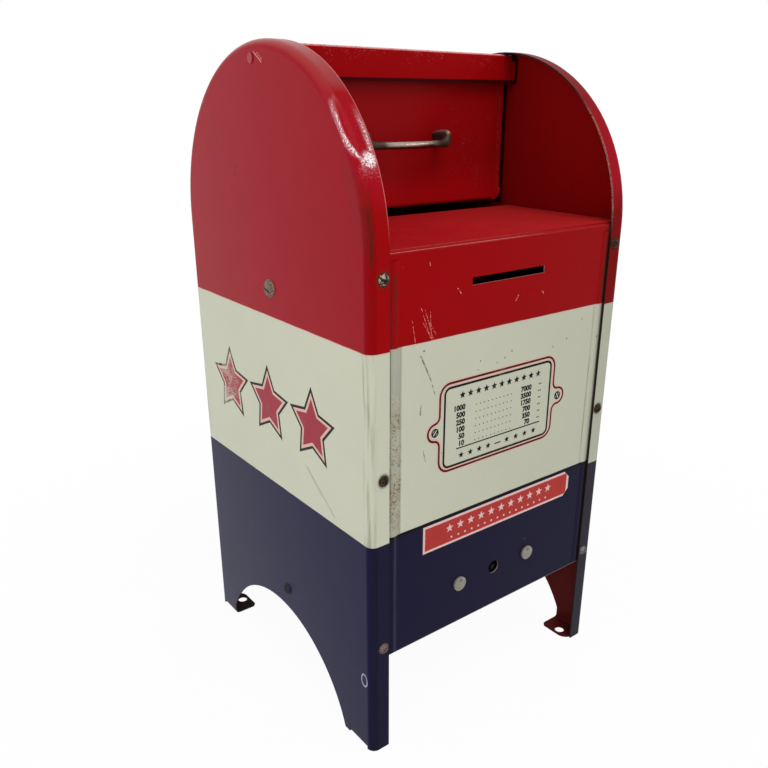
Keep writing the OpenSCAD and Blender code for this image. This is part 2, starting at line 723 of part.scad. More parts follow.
module catch_rivets() {
  color(nickel) for (x = rivet_xs) translate([x, bolt_y, trap_top]) {
    translate([0, 0, -tin]) cylinder(h = tin + foot_t, r = rivet_d / 2);
    translate([0, 0, foot_t]) cylinder(h = rivet_head_h, r = rivet_head_r);
    translate([0, 0, -tin - rivet_head_h]) cylinder(h = rivet_head_h, r = rivet_head_r);
  }
}

module trap_hinge_wire() {
  end = 2.5 * knuckle_l + 0.6;                // it stands a little out of the outer knuckles
  color(steel) bar_x(hinge_y, hinge_z, -end, end, wire_d / 2);
}

// ---------- lock ----------

module lock_case() {
  x1 = case_w / 2;
  color(steel) difference() {
    block([-x1, lock_y, lock_z - case_h / 2], [x1, case_back, lock_z + case_h / 2]);
    block([-case_in, lock_y - over, case_low], [case_in, case_back - case_t, case_high]);
    block([case_in - over, bolt_y - bolt_t / 2 - bolt_play, lock_z - tongue_h / 2 - bolt_play],
      [x1 + over, bolt_y + bolt_t / 2 + bolt_play, lock_z + tongue_h / 2 + bolt_play]);
    for (x = [-lock_screw_x, lock_screw_x])
      bar_y(x, lock_z, case_back - case_t - over, case_back + over, lock_screw_d / 2 + screw_play);
    bar_y(0, lock_z, case_back - case_t - over, case_back + over, key_post_d / 2 + thread_play);
  }
}

// the bolt slides on the lock screws, and the key pushes it by the sides of its window
module lock_bolt() {
  y0 = bolt_y - bolt_t / 2;
  y1 = bolt_y + bolt_t / 2;
  shoulder = case_in - bolt_throw - 1.5;
  key_room = key_post_d / 2 + 2.7;            // from the post to the side of the window
  bridge = 1.5;                               // metal above the window
  color(steel) difference() {
    union() {
      block([-case_in + part_gap, y0, bolt_low], [shoulder, y1, bolt_high]);
      block([0, y0, lock_z - tongue_h / 2], [case_w / 2 + bolt_tip, y1, lock_z + tongue_h / 2]);
    }
    block([-key_room - bolt_throw, y0 - over, bolt_low - over],
      [key_room, y1 + over, bolt_high - bridge]);
    block([lock_screw_x - bolt_throw - bolt_slot, y0 - over, lock_z - bolt_slot],
      [lock_screw_x + bolt_slot, y1 + over, lock_z + bolt_slot]);
    block([-case_w, y0 - over, lock_z - bolt_slot],
      [-lock_screw_x + bolt_slot, y1 + over, lock_z + bolt_slot]);
  }
}

// bowed leaf between the bolt and the top of the case
module bolt_spring() {
  leaf_t = 0.3;
  leaf_w = 2;
  half = 12;                                  // half its length
  rise = case_high - bolt_high - leaf_t - 4 * seam;
  r = (half * half + rise * rise) / (2 * rise);
  color(steel) translate([0, bolt_y + leaf_w / 2, bolt_high + seam + r]) rotate([90, 0, 0])
    rotate([0, 0, 270 - asin(half / r)]) rotate_extrude(angle = 2 * asin(half / r), $fn = 180)
      translate([r - leaf_t, 0]) square([leaf_t, leaf_w]);
}

// riveted to the back of the case, and standing in the key hole
module key_post() {
  color(steel) {
    bar_y(0, lock_z, lock_y - tin / 2, case_back, key_post_d / 2);
    bar_y(0, lock_z, case_back, case_back + rivet_head_h, 0.9 * key_post_d);
  }
}

module lock_spacers() {
  wall = 1;
  color(steel) for (x = [-lock_screw_x, lock_screw_x]) difference() {
    bar_y(x, lock_z, lock_y, bolt_y - bolt_t / 2 - bolt_play, lock_screw_d / 2 + screw_play + wall);
    bar_y(x, lock_z, lock_y - over, bolt_y, lock_screw_d / 2 + screw_play);
  }
}

module lock_fixing_screws() {
  length = panel_y + case_back + nut_t + 0.8; // from the front panel to just past the nut
  color(nickel) for (side = [-1, 1])
    screw_front(side * lock_screw_x, lock_z, -panel_y, lock_head_d, lock_head_h, lock_screw_d, length,
      90 + 9 * side);
}

module lock_nuts() {
  color(nickel) for (x = [-lock_screw_x, lock_screw_x])
    translate([x, case_back, lock_z]) rotate([-90, 0, 0]) nut(lock_screw_d, nut_t);
}

// ---------- label ----------

module front_label() {
  clip = 2.6;
  x0 = label_off - label_w / 2;
  x1 = label_off + label_w / 2;
  z1 = label_z + label_h;
  color("#b03a36") translate([0, -panel_y, 0]) rotate([90, 0, 0]) linear_extrude(label_t)
    polygon([[x0, label_z], [x1 - clip, label_z], [x1, label_z + clip],
      [x1, z1 - clip], [x1 - clip, z1], [x0, z1]]);
}

left_side_panel();
right_side_panel();
front_panel();
rear_panel();
floor_plate();
cross_brace();
brace_screws();
brace_nuts();
front_rim_screws();
rear_rim_screws();
floor_screws();
hopper_door();
door_handle();
door_rod();
door_washers();
lock_case();
lock_bolt();
bolt_spring();
key_post();
lock_spacers();
lock_fixing_screws();
lock_nuts();
trap_door();
trap_hinge_wire();
trap_catch();
catch_rivets();
front_label();
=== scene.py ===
import math

import bmesh
import bpy
from mathutils import Matrix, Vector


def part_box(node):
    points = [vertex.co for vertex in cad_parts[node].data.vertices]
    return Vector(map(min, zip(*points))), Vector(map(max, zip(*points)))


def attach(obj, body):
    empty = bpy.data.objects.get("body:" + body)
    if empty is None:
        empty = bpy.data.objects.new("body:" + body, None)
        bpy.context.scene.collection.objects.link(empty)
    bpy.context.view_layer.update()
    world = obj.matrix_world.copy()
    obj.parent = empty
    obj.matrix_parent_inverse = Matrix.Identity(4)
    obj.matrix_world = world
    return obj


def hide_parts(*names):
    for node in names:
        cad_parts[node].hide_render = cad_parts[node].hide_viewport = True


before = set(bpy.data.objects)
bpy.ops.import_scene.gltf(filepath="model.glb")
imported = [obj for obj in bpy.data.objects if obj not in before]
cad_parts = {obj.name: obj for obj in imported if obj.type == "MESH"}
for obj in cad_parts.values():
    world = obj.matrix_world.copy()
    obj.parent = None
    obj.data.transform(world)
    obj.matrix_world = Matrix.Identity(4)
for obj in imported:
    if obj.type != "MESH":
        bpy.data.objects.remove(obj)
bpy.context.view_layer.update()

bl_info = {
    "name": "Tin post-box savings bank",
    "version": (1, 0, 0),
    "blender": (4, 5, 0),
    "location": "View3D > Sidebar > Tin Bank",
    "description": "Dresses a toy savings bank of painted tin with its handle, screws, prints and enamel",
    "category": "Object",
}

# ---------- places on the bank, in metres, read from the solids ----------

MM = 0.001
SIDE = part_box("left_side_panel")
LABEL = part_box("front_label")
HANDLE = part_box("door_handle")
WALL_X = -SIDE[0].x                     # outer face of a side panel
FRONT_Y = SIDE[0].y                     # outer face of the front rims
BACK_Y = -FRONT_Y
CROWN_Z = SIDE[1].z - BACK_Y            # centre of the round crown
PANEL_Y = LABEL[1].y                    # outer face of the front panel
RIM_BEND = 3 * MM                       # radius of the bend between a side's face and its rim
PANEL_FOLD = 1.5 * MM                   # radius of the shelf's fold
GRIP_D = 2.9 * MM                       # thickness of the handle's grip
RIM_HEAD_IN = 2.0 * MM                  # from the outermost edge of a rim screw's head to its middle
LOCK_HEAD_IN = 2.8 * MM                 # and the same for a lock screw
INK_T = 0.06 * MM                       # a print's thickness; half of it stands on the sheet
DEGREES = 57.3                          # in one radian


def rim_screw_places(node):
    """How far from the middle a row of rim screws stands, and its three heights."""
    low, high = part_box(node)
    return high.x - RIM_HEAD_IN, (low.z + RIM_HEAD_IN, (low.z + high.z) / 2, high.z - RIM_HEAD_IN)


# ---------- sizes and colours a user would change ----------

def distance(name, description, default, **more):
    return bpy.props.FloatProperty(name=name, description=description, default=default,
                                   subtype="DISTANCE", unit="LENGTH", precision=5, **more)


def tint(name, description, default):
    return bpy.props.FloatVectorProperty(name=name, description=description, default=default,
                                         subtype="COLOR", size=3, min=0, max=1)


class TinBankSizes(bpy.types.PropertyGroup):
    """Sizes of the prints, screws and handle"""
    side_red_from: distance("Red above, sides", "Height where the red begins on the sides", 0.1482)
    side_navy_below: distance("Navy below, sides", "Height where the navy ends on the sides", 0.0836)
    front_red_from: distance("Red above, front", "Height where the red begins on the front", 0.14866)
    front_navy_below: distance("Navy below, front", "Height where the navy ends on the front", 0.0850)
    star_size: distance("Star radius", "Radius of the stars on the sides", 0.0146, min=0.004, max=0.02)
    star_pitch: distance("Star spacing", "Distance between two stars on a side", 0.0291)
    star_outline: distance("Star outline", "Width of the black line round a star", 0.00092)
    star_inline: distance("Star inline", "Width of the pale line inside it", 0.00105)
    plate_line: distance("Plate line", "Width of the lines round the rate plate", 0.00076)
    figure_size: distance("Figure height", "Height of the figures on the rate plate", 0.0026)
    slot_w: distance("Screw slot", "Width of a screw's slot", 0.0007, min=0.0003, max=0.0012)
    grip_bow: distance("Grip bow", "How far the grip bows forward in the middle", 0.0025)


class TinBankColours(bpy.types.PropertyGroup):
    """Colours of the enamel, inks and metals"""
    red: tint("Red enamel", "The upper band, door and roof", (0.315, 0.0020, 0.0036))
    red_inside: tint("Red inside", "The thinner red on the inner faces", (0.27, 0.0055, 0.0055))
    cream: tint("Cream enamel", "The middle band", (0.555, 0.565, 0.448))
    navy: tint("Navy enamel", "The lower band", (0.0135, 0.0120, 0.0330))
    worn_pink: tint("Worn red", "Red enamel where it is scratched", (0.60, 0.20, 0.20))
    grime: tint("Grime", "Old dirt in the bends and seams", (0.075, 0.052, 0.034))
    tin: tint("Tinplate", "Bare tin sheet", (0.47, 0.46, 0.43))
    rust: tint("Rust", "Rust specks", (0.105, 0.050, 0.022))
    nickel: tint("Nickel", "The worn plating of the handle", (0.40, 0.32, 0.26))
    screw: tint("Screw metal", "The tarnished screws", (0.080, 0.048, 0.030))
    print_black: tint("Black print", "The black of lines and figures", (0.012, 0.011, 0.012))
    print_red: tint("Red print", "The thin red line and the stars", (0.32, 0.032, 0.049))
    print_pink: tint("Pink print", "The pale edge of the red line", (0.66, 0.43, 0.36))
    label_red: tint("Label red", "The small label's field", (0.46, 0.045, 0.037))
    label_edge: tint("Label edge", "The small label's border", (0.70, 0.48, 0.47))


# ---------- shader building ----------

def rgba(colour):
    return (*colour[:3], 1.0)


def reckoned(operation, swapped=False):
    """A Wire's method that adds one Math node."""
    def method(self, other):
        return self.nodes.maths(operation, *((other, self) if swapped else (self, other)))
    return method


class Wire:
    """A shader socket to reckon with."""

    def __init__(self, nodes, socket):
        self.nodes, self.socket = nodes, socket

    __add__ = __radd__ = reckoned("ADD")
    __mul__ = __rmul__ = reckoned("MULTIPLY")
    __sub__, __rsub__ = reckoned("SUBTRACT"), reckoned("SUBTRACT", swapped=True)
    __truediv__, __rtruediv__ = reckoned("DIVIDE"), reckoned("DIVIDE", swapped=True)
    __pow__, __rpow__ = reckoned("POWER"), reckoned("POWER", swapped=True)
    __lt__, __gt__ = reckoned("LESS_THAN"), reckoned("GREATER_THAN")
    least, most = reckoned("MINIMUM"), reckoned("MAXIMUM")

    def __neg__(self):
        return self * -1.0

    def __abs__(self):
        return self.nodes.maths("ABSOLUTE", self)

    def held(self):
        """Kept between 0 and 1."""
        self.socket.node.use_clamp = True
        return self

    def also(self, name):
        """Another output of the same node."""
        return Wire(self.nodes, self.socket.node.outputs[name])


class Nodes:
    """A node tree that is put together from nothing."""

    def __init__(self, owner):
        owner.use_nodes = True
        self.tree = owner.node_tree
        self.tree.nodes.clear()

    def node(self, kind, settings=None, inputs=None, out=0):
        """Adds a node: its settings first, then the values or wires of its sockets."""
        made = self.tree.nodes.new(kind)
        for name, value in (settings or {}).items():
            setattr(made, name, value)
        for key, value in (inputs or {}).items():
            if isinstance(value, Wire):
                self.tree.links.new(value.socket, made.inputs[key])
            else:
                made.inputs[key].default_value = value
        return Wire(self, made.outputs[out]) if len(made.outputs) else None

    def maths(self, operation, *values):
        return self.node("ShaderNodeMath", {"operation": operation}, dict(enumerate(values)))


class Finish(Nodes):
    """One material; its places x, y and z are in millimetres."""

    def __init__(self, name):
        self.material = bpy.data.materials.new(name)
        super().__init__(self.material)
        where = self.node("ShaderNodeTexCoord", out="Object")
        self.where = self.node("ShaderNodeVectorMath", {"operation": "SCALE"}, {0: where, "Scale": 1 / MM})
        self.x = self.node("ShaderNodeSeparateXYZ", None, {0: self.where})
        self.y, self.z = self.x.also("Y"), self.x.also("Z")

    def stretched(self, *factors):
        """The place squeezed or drawn out, for streaks."""
        return self.node("ShaderNodeVectorMath", {"operation": "MULTIPLY"}, {0: self.where, 1: factors})

    def noise(self, size, detail=2.0, rough=0.5, where=None):
        """Soft noise with lumps of about size millimetres."""
        return self.node("ShaderNodeTexNoise", None, {
            "Vector": where or self.where, "Scale": 1 / size, "Detail": detail, "Roughness": rough})

    def step(self, value, low, high):
        """0 below low, 1 above high, and smooth between."""
        return self.node("ShaderNodeMapRange", {"interpolation_type": "SMOOTHSTEP"}, {
            "Value": value, "From Min": low, "From Max": high})

    def fade(self, value, low, high):
        """1 below low, 0 above high."""
        return 1 - self.step(value, low, high)

    def inside(self, value, low, high, soft):
        """1 where value is between low and high."""
        return self.step(value, low - soft, low + soft) * self.fade(value, high - soft, high + soft)

    def length(self, u, v):
        return (u * u + v * v) ** 0.5

    def skin(self, first, second, bend):
        """How far past its bend each face runs, and the depth in the sheet, negative inwards."""
        out_1, out_2 = first.most(0.0), second.most(0.0)
        return out_1, out_2, self.length(out_1, out_2) + first.most(second).least(0.0) - bend

    def mix(self, factor, first, second, way="MIX"):
        """Two colours mixed; a plain colour may be given as three numbers."""
        first, second = (tone if isinstance(tone, Wire) else rgba(tone) for tone in (first, second))
        return self.node("ShaderNodeMix", {"data_type": "RGBA", "blend_type": way}, {
            0: factor, 6: first, 7: second}, 2)

    def layers(self, colour, *coats):
        """Coats over a colour, the last on top; each is how much of it there is, and its colour."""
        for amount, tone in coats:
            colour = self.mix(amount, colour, tone)
        return colour

    def shaded(self, colour, factor):
        """A colour made lighter or darker by a factor that may vary."""
        grey = self.node("ShaderNodeCombineXYZ", None, {0: factor, 1: factor, 2: factor})
        return self.mix(1.0, colour, grey, "MULTIPLY")

    def cells(self, scale):
        """Irregular cells: the distance to a cell's middle, and a number for each cell."""
        cell = self.node("ShaderNodeTexVoronoi", None, {"Vector": self.where, "Scale": scale})
        return cell, self.node("ShaderNodeSeparateColor", None, {0: cell.also("Color")})

    def specks(self, spacing, size, ragged=0.6):
        """Scattered specks up to size millimetres across, about spacing apart."""
        cell, chance = self.cells(1 / spacing)
        away = cell * spacing + (self.noise(size * 0.6) - 0.5) * (size * ragged)
        reach = chance * chance * chance * (size / 2)
        return self.fade(away - reach, -0.06 * size, 0.06 * size) * (chance > 0.25)

    def marks(self, u, v, *strokes):
        """Straight marks in the u, v plane as one mask: each from u, v to u, v, and its width."""
        found = None
        for u0, v0, u1, v1, width in strokes:
            run, rise = u1 - u0, v1 - v0
            du, dv = u - u0, v - v0
            along = ((du * run + dv * rise) / (run * run + rise * rise)).held()
            mark = self.fade(self.length(du - along * run, dv - along * rise), width * 0.25, width * 0.75)
            found = found.most(mark) if found else mark
        return found

    def surface(self, colour, rough, heights=(), coat=None, metal=None, **constants):
        """The shader itself; heights are (wire, millimetres) pairs for the bump."""
        inputs = {"Base Color": colour if isinstance(colour, Wire) else rgba(colour), "Roughness": rough}
        for socket, value in (("Coat Weight", coat), ("Metallic", metal)):
            if value is not None:
                inputs[socket] = value
        for height, size in heights:
            bump = {"Height": height, "Distance": size * MM, "Strength": 1.0}
            if "Normal" in inputs:
                bump["Normal"] = inputs["Normal"]
            inputs["Normal"] = self.node("ShaderNodeBump", None, bump)
        inputs.update({name.replace("_", " "): value for name, value in constants.items()})
        self.node("ShaderNodeOutputMaterial", None, {
            "Surface": self.node("ShaderNodeBsdfPrincipled", None, inputs)})
        return self.material


# ---------- finishes ----------

SHINE = {"Specular_IOR_Level": 0.02, "Coat_Roughness": 0.22}     # enamel: the gloss is in its coat


def grained(name, coarse, fine, detail=3, rough=0.7):
    """A new finish with soft patches of one size and a speckle of another, in millimetres."""
    f = Finish(name)
    return f, f.noise(coarse, 3, 0.6), f.noise(fine, detail, rough)


def banded(f, look, red_from, navy_below):
    """Red, cream and navy by height, with the printer's slightly uneven edges."""
    red_from, navy_below, soft = red_from / MM, navy_below / MM, 0.12
    z = f.z + (f.noise(7) - 0.5) * 0.3
    top = f.step(z, red_from - soft, red_from + soft)
    low = f.step(z, navy_below - soft, navy_below + soft)
    return f.layers(
        look.navy,
        (low, look.cream),
        (f.inside(z, red_from - 0.4, red_from - 0.05, soft) * 0.55, (0.8, 0.36, 0.3)),
        (top, look.red),
        (f.inside(z, red_from, red_from + 0.3, 0.1) * 0.55, (0.09, 0.004, 0.004)),
        (f.inside(z, navy_below - 0.35, navy_below, 0.1) * 0.6, (0.004, 0.004, 0.006))), top, low


def toned(f, colour, depth=0.1):
    """Slow cloudy changes of tone, as in old enamel."""
    cloud, grain = f.noise(38, 3, 0.55), f.noise(0.9, 2)
    return f.shaded(colour, 1 + (cloud - 0.5) * depth + (grain - 0.5) * (depth * 0.35))


def chipped(f, look, colour, top, low, amount):
    """Small chips: pink in the red, dark in the cream, lilac in the navy."""
    both = f.specks(16, 0.9).most(f.specks(5.5, 0.42) * 0.7) * amount
    return f.layers(colour, (both * top * 0.75, look.worn_pink),
                    (both * (low * (1 - top)) * 0.8, look.grime),
                    (both * (1 - low) * 0.6, (0.36, 0.34, 0.48)))


def back_of(f, look, patches):
    """The thinner red on a sheet's inner face."""
    return f.shaded(f.mix(patches, look.red_inside, look.red), 0.8)


def dented(f):
    """The slight waviness of thin sheet and the fine skin of sprayed enamel."""
    return [(f.noise(24, 1), 0.1), (f.noise(0.7, 2), 0.006)]


def side_enamel(look, sizes):
    f, patches, speckle = grained("side_enamel", 9, 0.55, 2)
    ax, y, z = abs(f.x), f.y, f.z
    over = (z - CROWN_Z / MM).most(0)
    round_in = f.length(y, over)
    bend = RIM_BEND / MM
    qx, qd = ax - (WALL_X / MM - bend), round_in - (BACK_Y / MM - bend)
    ox, od, skin = f.skin(qx, qd, bend)
    outer_foot = (f.length((ax - 55).most(0), (2 - z).most(0)) > 1.7) * (z < 2) * (ax > 55)
    inner = f.fade(skin, -0.36, -0.28) * (1 - outer_foot)
    cut_edge = f.inside(skin, -0.52, -0.2, 0.03)
    left = f.x < 0
    front_left = left * (y < 0)
    turning, broad, rim = ox.least(od), f.step(qx, 2, 2.9), f.step(qd, 0.6, 2.4)
    right_rim = rim * (1 - left)
    bent = f.step(turning, 0.15, 1.2)
    lean = f.maths("ARCTAN2", over, -y) * DEGREES             # up the arch from the front
    turn = f.maths("ARCTAN2", od, ox) * DEGREES               # round the bend, from face to rim
    streaks = f.noise(1.3, 3, 0.6, f.stretched(1, 1, 0.06))
    fine = f.noise(0.3, 2, 0.7)

    colour, top, low = banded(f, look, sizes.side_red_from, sizes.side_navy_below)
    white = low * (1 - top)
    colour = f.layers(colour, (top * broad * 0.8, (0.305, 0.003, 0.0135)),
                      ((1 - low) * broad, (0.0122, 0.0112, 0.044)))
    # painted shade: the bend is darkened in the red and the navy, below z = 190
    colour = f.shaded(toned(f, colour), 1 - (turning > 0.3) * (1 - white) * (z < 190) * 0.16)

    # the front left bend carries a painted highlight: a bright glare streak with a haze, a spot and an edge glint;
    # worn pink specks and brown stains lie below it
    worn = rim * f.inside(lean, 19, 27, 3).most(f.inside(lean, 27, 43, 3) * 0.82)
    worn = f.step(worn * 0.42 + fine * 0.6 + speckle * 0.4, 0.93, 1.06) * left
    off = lean - 36
    under = (-off).most(0)
    past = turn - (off * off * 0.3 + under * under * 0.28 + 25).least(80)    # past the streak's middle line
    glare_haze = f.inside(lean, 28, 45.5, 1.5) * f.fade(abs(past + 10), 6, 26) * f.step(od, 0.05, 0.5)
    glare_streak = f.inside(lean, 24.5, 42, 3) * f.fade(abs(past), 3, 18)
    glare_spot = f.fade(f.length(lean - 26.4, ax - 52.1), 0.8, 3.3) * rim
    edge_glint = f.inside(lean, 26, 40, 4) * f.fade(abs(ax - 50.7), 0.2, 1.5) * rim
    glow = (glare_haze * 0.48).most(glare_streak * 0.78).most(glare_spot * 1.35).most(edge_glint * 0.6) * front_left
    painted_highlight = (glow * (0.35 + f.step(fine * 0.5 + speckle * 0.5, 0.4, 0.62) * 1.3)).least(1)
    free_edge = f.fade(ax, 49.72, 49.9) * rim * f.step(z, 178, 192) * f.step(speckle, 0.2, 0.45)
    stained = f.inside(turn, 15, 80, 12) * f.inside(z, 162, 197, 7) * front_left
    mottled = f.inside(round_in, 52.5, 57.6, 1.5) * f.inside(lean, 4, 27, 5) * front_left
    line = f.inside(turn, 47, 66, 5) * f.inside(z, 174, 190, 2.5) * front_left

    # dirt has gathered in the bend, a dark ring lies round each rim screw, and the right-hand rim is darkened with
    # painted shade
    near_bend = f.inside(round_in, 55.2, 57.6, 0.8) * (ax > 53.5)
    near_screw = 0
    screw_x, screw_zs = rim_screw_places("front_rim_screws")
    for screw_z in screw_zs:
        away = f.length(ax - screw_x / MM, z - screw_z / MM)
        near_screw = f.fade(away + (patches - 0.5) * 1.2, 1.9, 3) + near_screw
    upper = f.step(z, 180, 192)
    colour = f.layers(
        colour,
        (near_bend * f.step(streaks, 0.44, 0.72) * white * 0.42, look.grime),
        (bent * white * f.step(streaks, 0.4, 0.8) * 0.5, (0.2, 0.18, 0.13)),
        (f.inside(lean, 16, 46, 6) * rim * front_left * 0.5, (0.37, 0.0035, 0.018)),
        (worn * 0.75, (0.66, 0.17, 0.2)),
        # painted highlight: the glare on the front left bend, pale pink rising to near white
        (painted_highlight, f.mix(f.step(painted_highlight, 0.45, 0.95), (0.58, 0.25, 0.29), (0.96, 0.88, 0.87))),
        (free_edge * 0.6, (0.72, 0.28, 0.27)),
        (stained * f.step(patches * 0.6 + streaks * 0.4, 0.35, 0.65) * 0.5, (0.12, 0.012, 0.008)),
        (mottled * f.step(fine, 0.48, 0.6) * 0.55, (0.1, 0.02, 0.016)),
        (line * f.step(fine * 0.6 + streaks * 0.4, 0.4, 0.58) * 0.92, (0.032, 0.016, 0.008)),
        (near_screw * rim * 0.55, (0.045, 0.028, 0.018)),
        # painted shade on the right-hand rim, mottled by patches: the cream and red darkened, with a painted sheen
        # that lightens the navy
        (right_rim * (0.2 + top * 0.22 - upper * 0.25 + patches * 0.14),
         f.mix(top, (0.085, 0.072, 0.06), (0.045, 0.006, 0.005))),
        # painted light and shade up the right-hand rim's arch: a brighter crimson low, darker near the top
        (right_rim * upper * 0.6, f.mix(f.step(z, 205, 228), (0.36, 0.006, 0.019), (0.16, 0.008, 0.012))))

    # knocks and scratches on the broad faces
    colour = chipped(f, look, colour, top, low, (1 - inner) * f.step(patches, 0.42, 0.62))
    pale = f.marks(y, z, (0.6, 231.2, -4, 228.2, 0.28), (-1.6, 230.9, -4.4, 228.9, 0.16))
    dark = f.marks(y, z, (17.1, 196.9, 17.6, 196, 0.9), (18.1, 194.2, 18.5, 193.3, 0.8),
                   (33, 213, 30, 204, 0.35))
    crease = f.marks(y, z, (-21.8, 98.9, -38.4, 86.4, 0.5), (-20.6, 99.6, -31, 91, 0.3))
    rod_ring = f.inside(f.length(y - 2.5, z - 229.2), 1.25, 1.55, 0.12)
    chip = f.inside(f.length((y + 54.6) * 1.5, z - 29.4), 2.1, 2.7, 0.2)
    colour = f.layers(
        colour,
        (pale * left * f.step(speckle, 0.34, 0.52), (0.8, 0.42, 0.4)),
        (dark * left * f.step(speckle, 0.25, 0.5) * 0.75, (0.1, 0.012, 0.012)),
        (crease * left * f.step(speckle, 0.2, 0.5) * 0.45, look.grime),
        (rod_ring * left * 0.6, (0.1, 0.004, 0.004)),
        (chip * left * f.step(patches, 0.2, 0.5) * 0.75, (0.55, 0.53, 0.68)))

    # inner faces, darker towards the bottom with painted shade, near-black painted shade in the gap beside the door,
    # painted shade over the rear foot tabs, and the sheet's cut edges
    gap_shade = f.inside(y, 3, 8, 0.4).most(f.inside(y, -2.1, 3, 0.4) * (z > 224)) * (z > 178)
    inside = f.layers(
        # painted shade: the inner faces darken towards the bottom
        f.shaded(f.mix(patches, look.red_inside, look.red),
                 (0.85 + streaks * 0.15) * (0.4 + 0.6 * f.step(z, 30, 90))),
        # painted shade: near-black in the gap beside the door and behind the header, on the right panel
        (gap_shade * (1 - left) * 0.9, (0.012, 0.001, 0.001)),
        (f.fade(z, 20, 60) * 0.35, (0.085, 0.03, 0.026)),
        # painted shade: near-black over the rear foot tabs
        (f.fade(z, 2, 5) * (y > 0) * 0.9, (0.014, 0.008, 0.006)))
    bared = f.inside(z, 178, 216, 6) * f.step(speckle, 0.35, 0.55)
    colour = f.layers(
        colour, (inner, inside),
        (cut_edge * top * left, f.mix(f.step(patches, 0.4, 0.62), (0.23, 0.13, 0.07), (0.55, 0.22, 0.19))),
        (cut_edge.most(f.fade(ax, 49.65, 49.75) * rim) * (1 - left) * 0.94,
         f.mix(bared, (0.02, 0.015, 0.013), (0.42, 0.22, 0.17))))

    face = f.step(qx, 2.7, 2.97) * f.fade(od, 0, 1.2)
    topmost = f.step(lean, 46.5, 52)
    by_arch = (bent * f.step(z, 180, 200) * f.step(lean, 40, 47) * (0.3 - topmost * 0.16)
               + rim * (f.step(z, 186, 200) * 0.05 + topmost * 0.44))
    coat = face * (0.19 + (y + 55) * 0.0011) + by_arch * (0.12 + left * 0.88)
    rough = 0.42 + (patches - 0.5) * 0.16 + worn * 0.2
    return f.surface(colour, rough, dented(f) + [(worn + line, -0.03)],
                     coat=(coat * (1 - inner)).least(1), **SHINE)


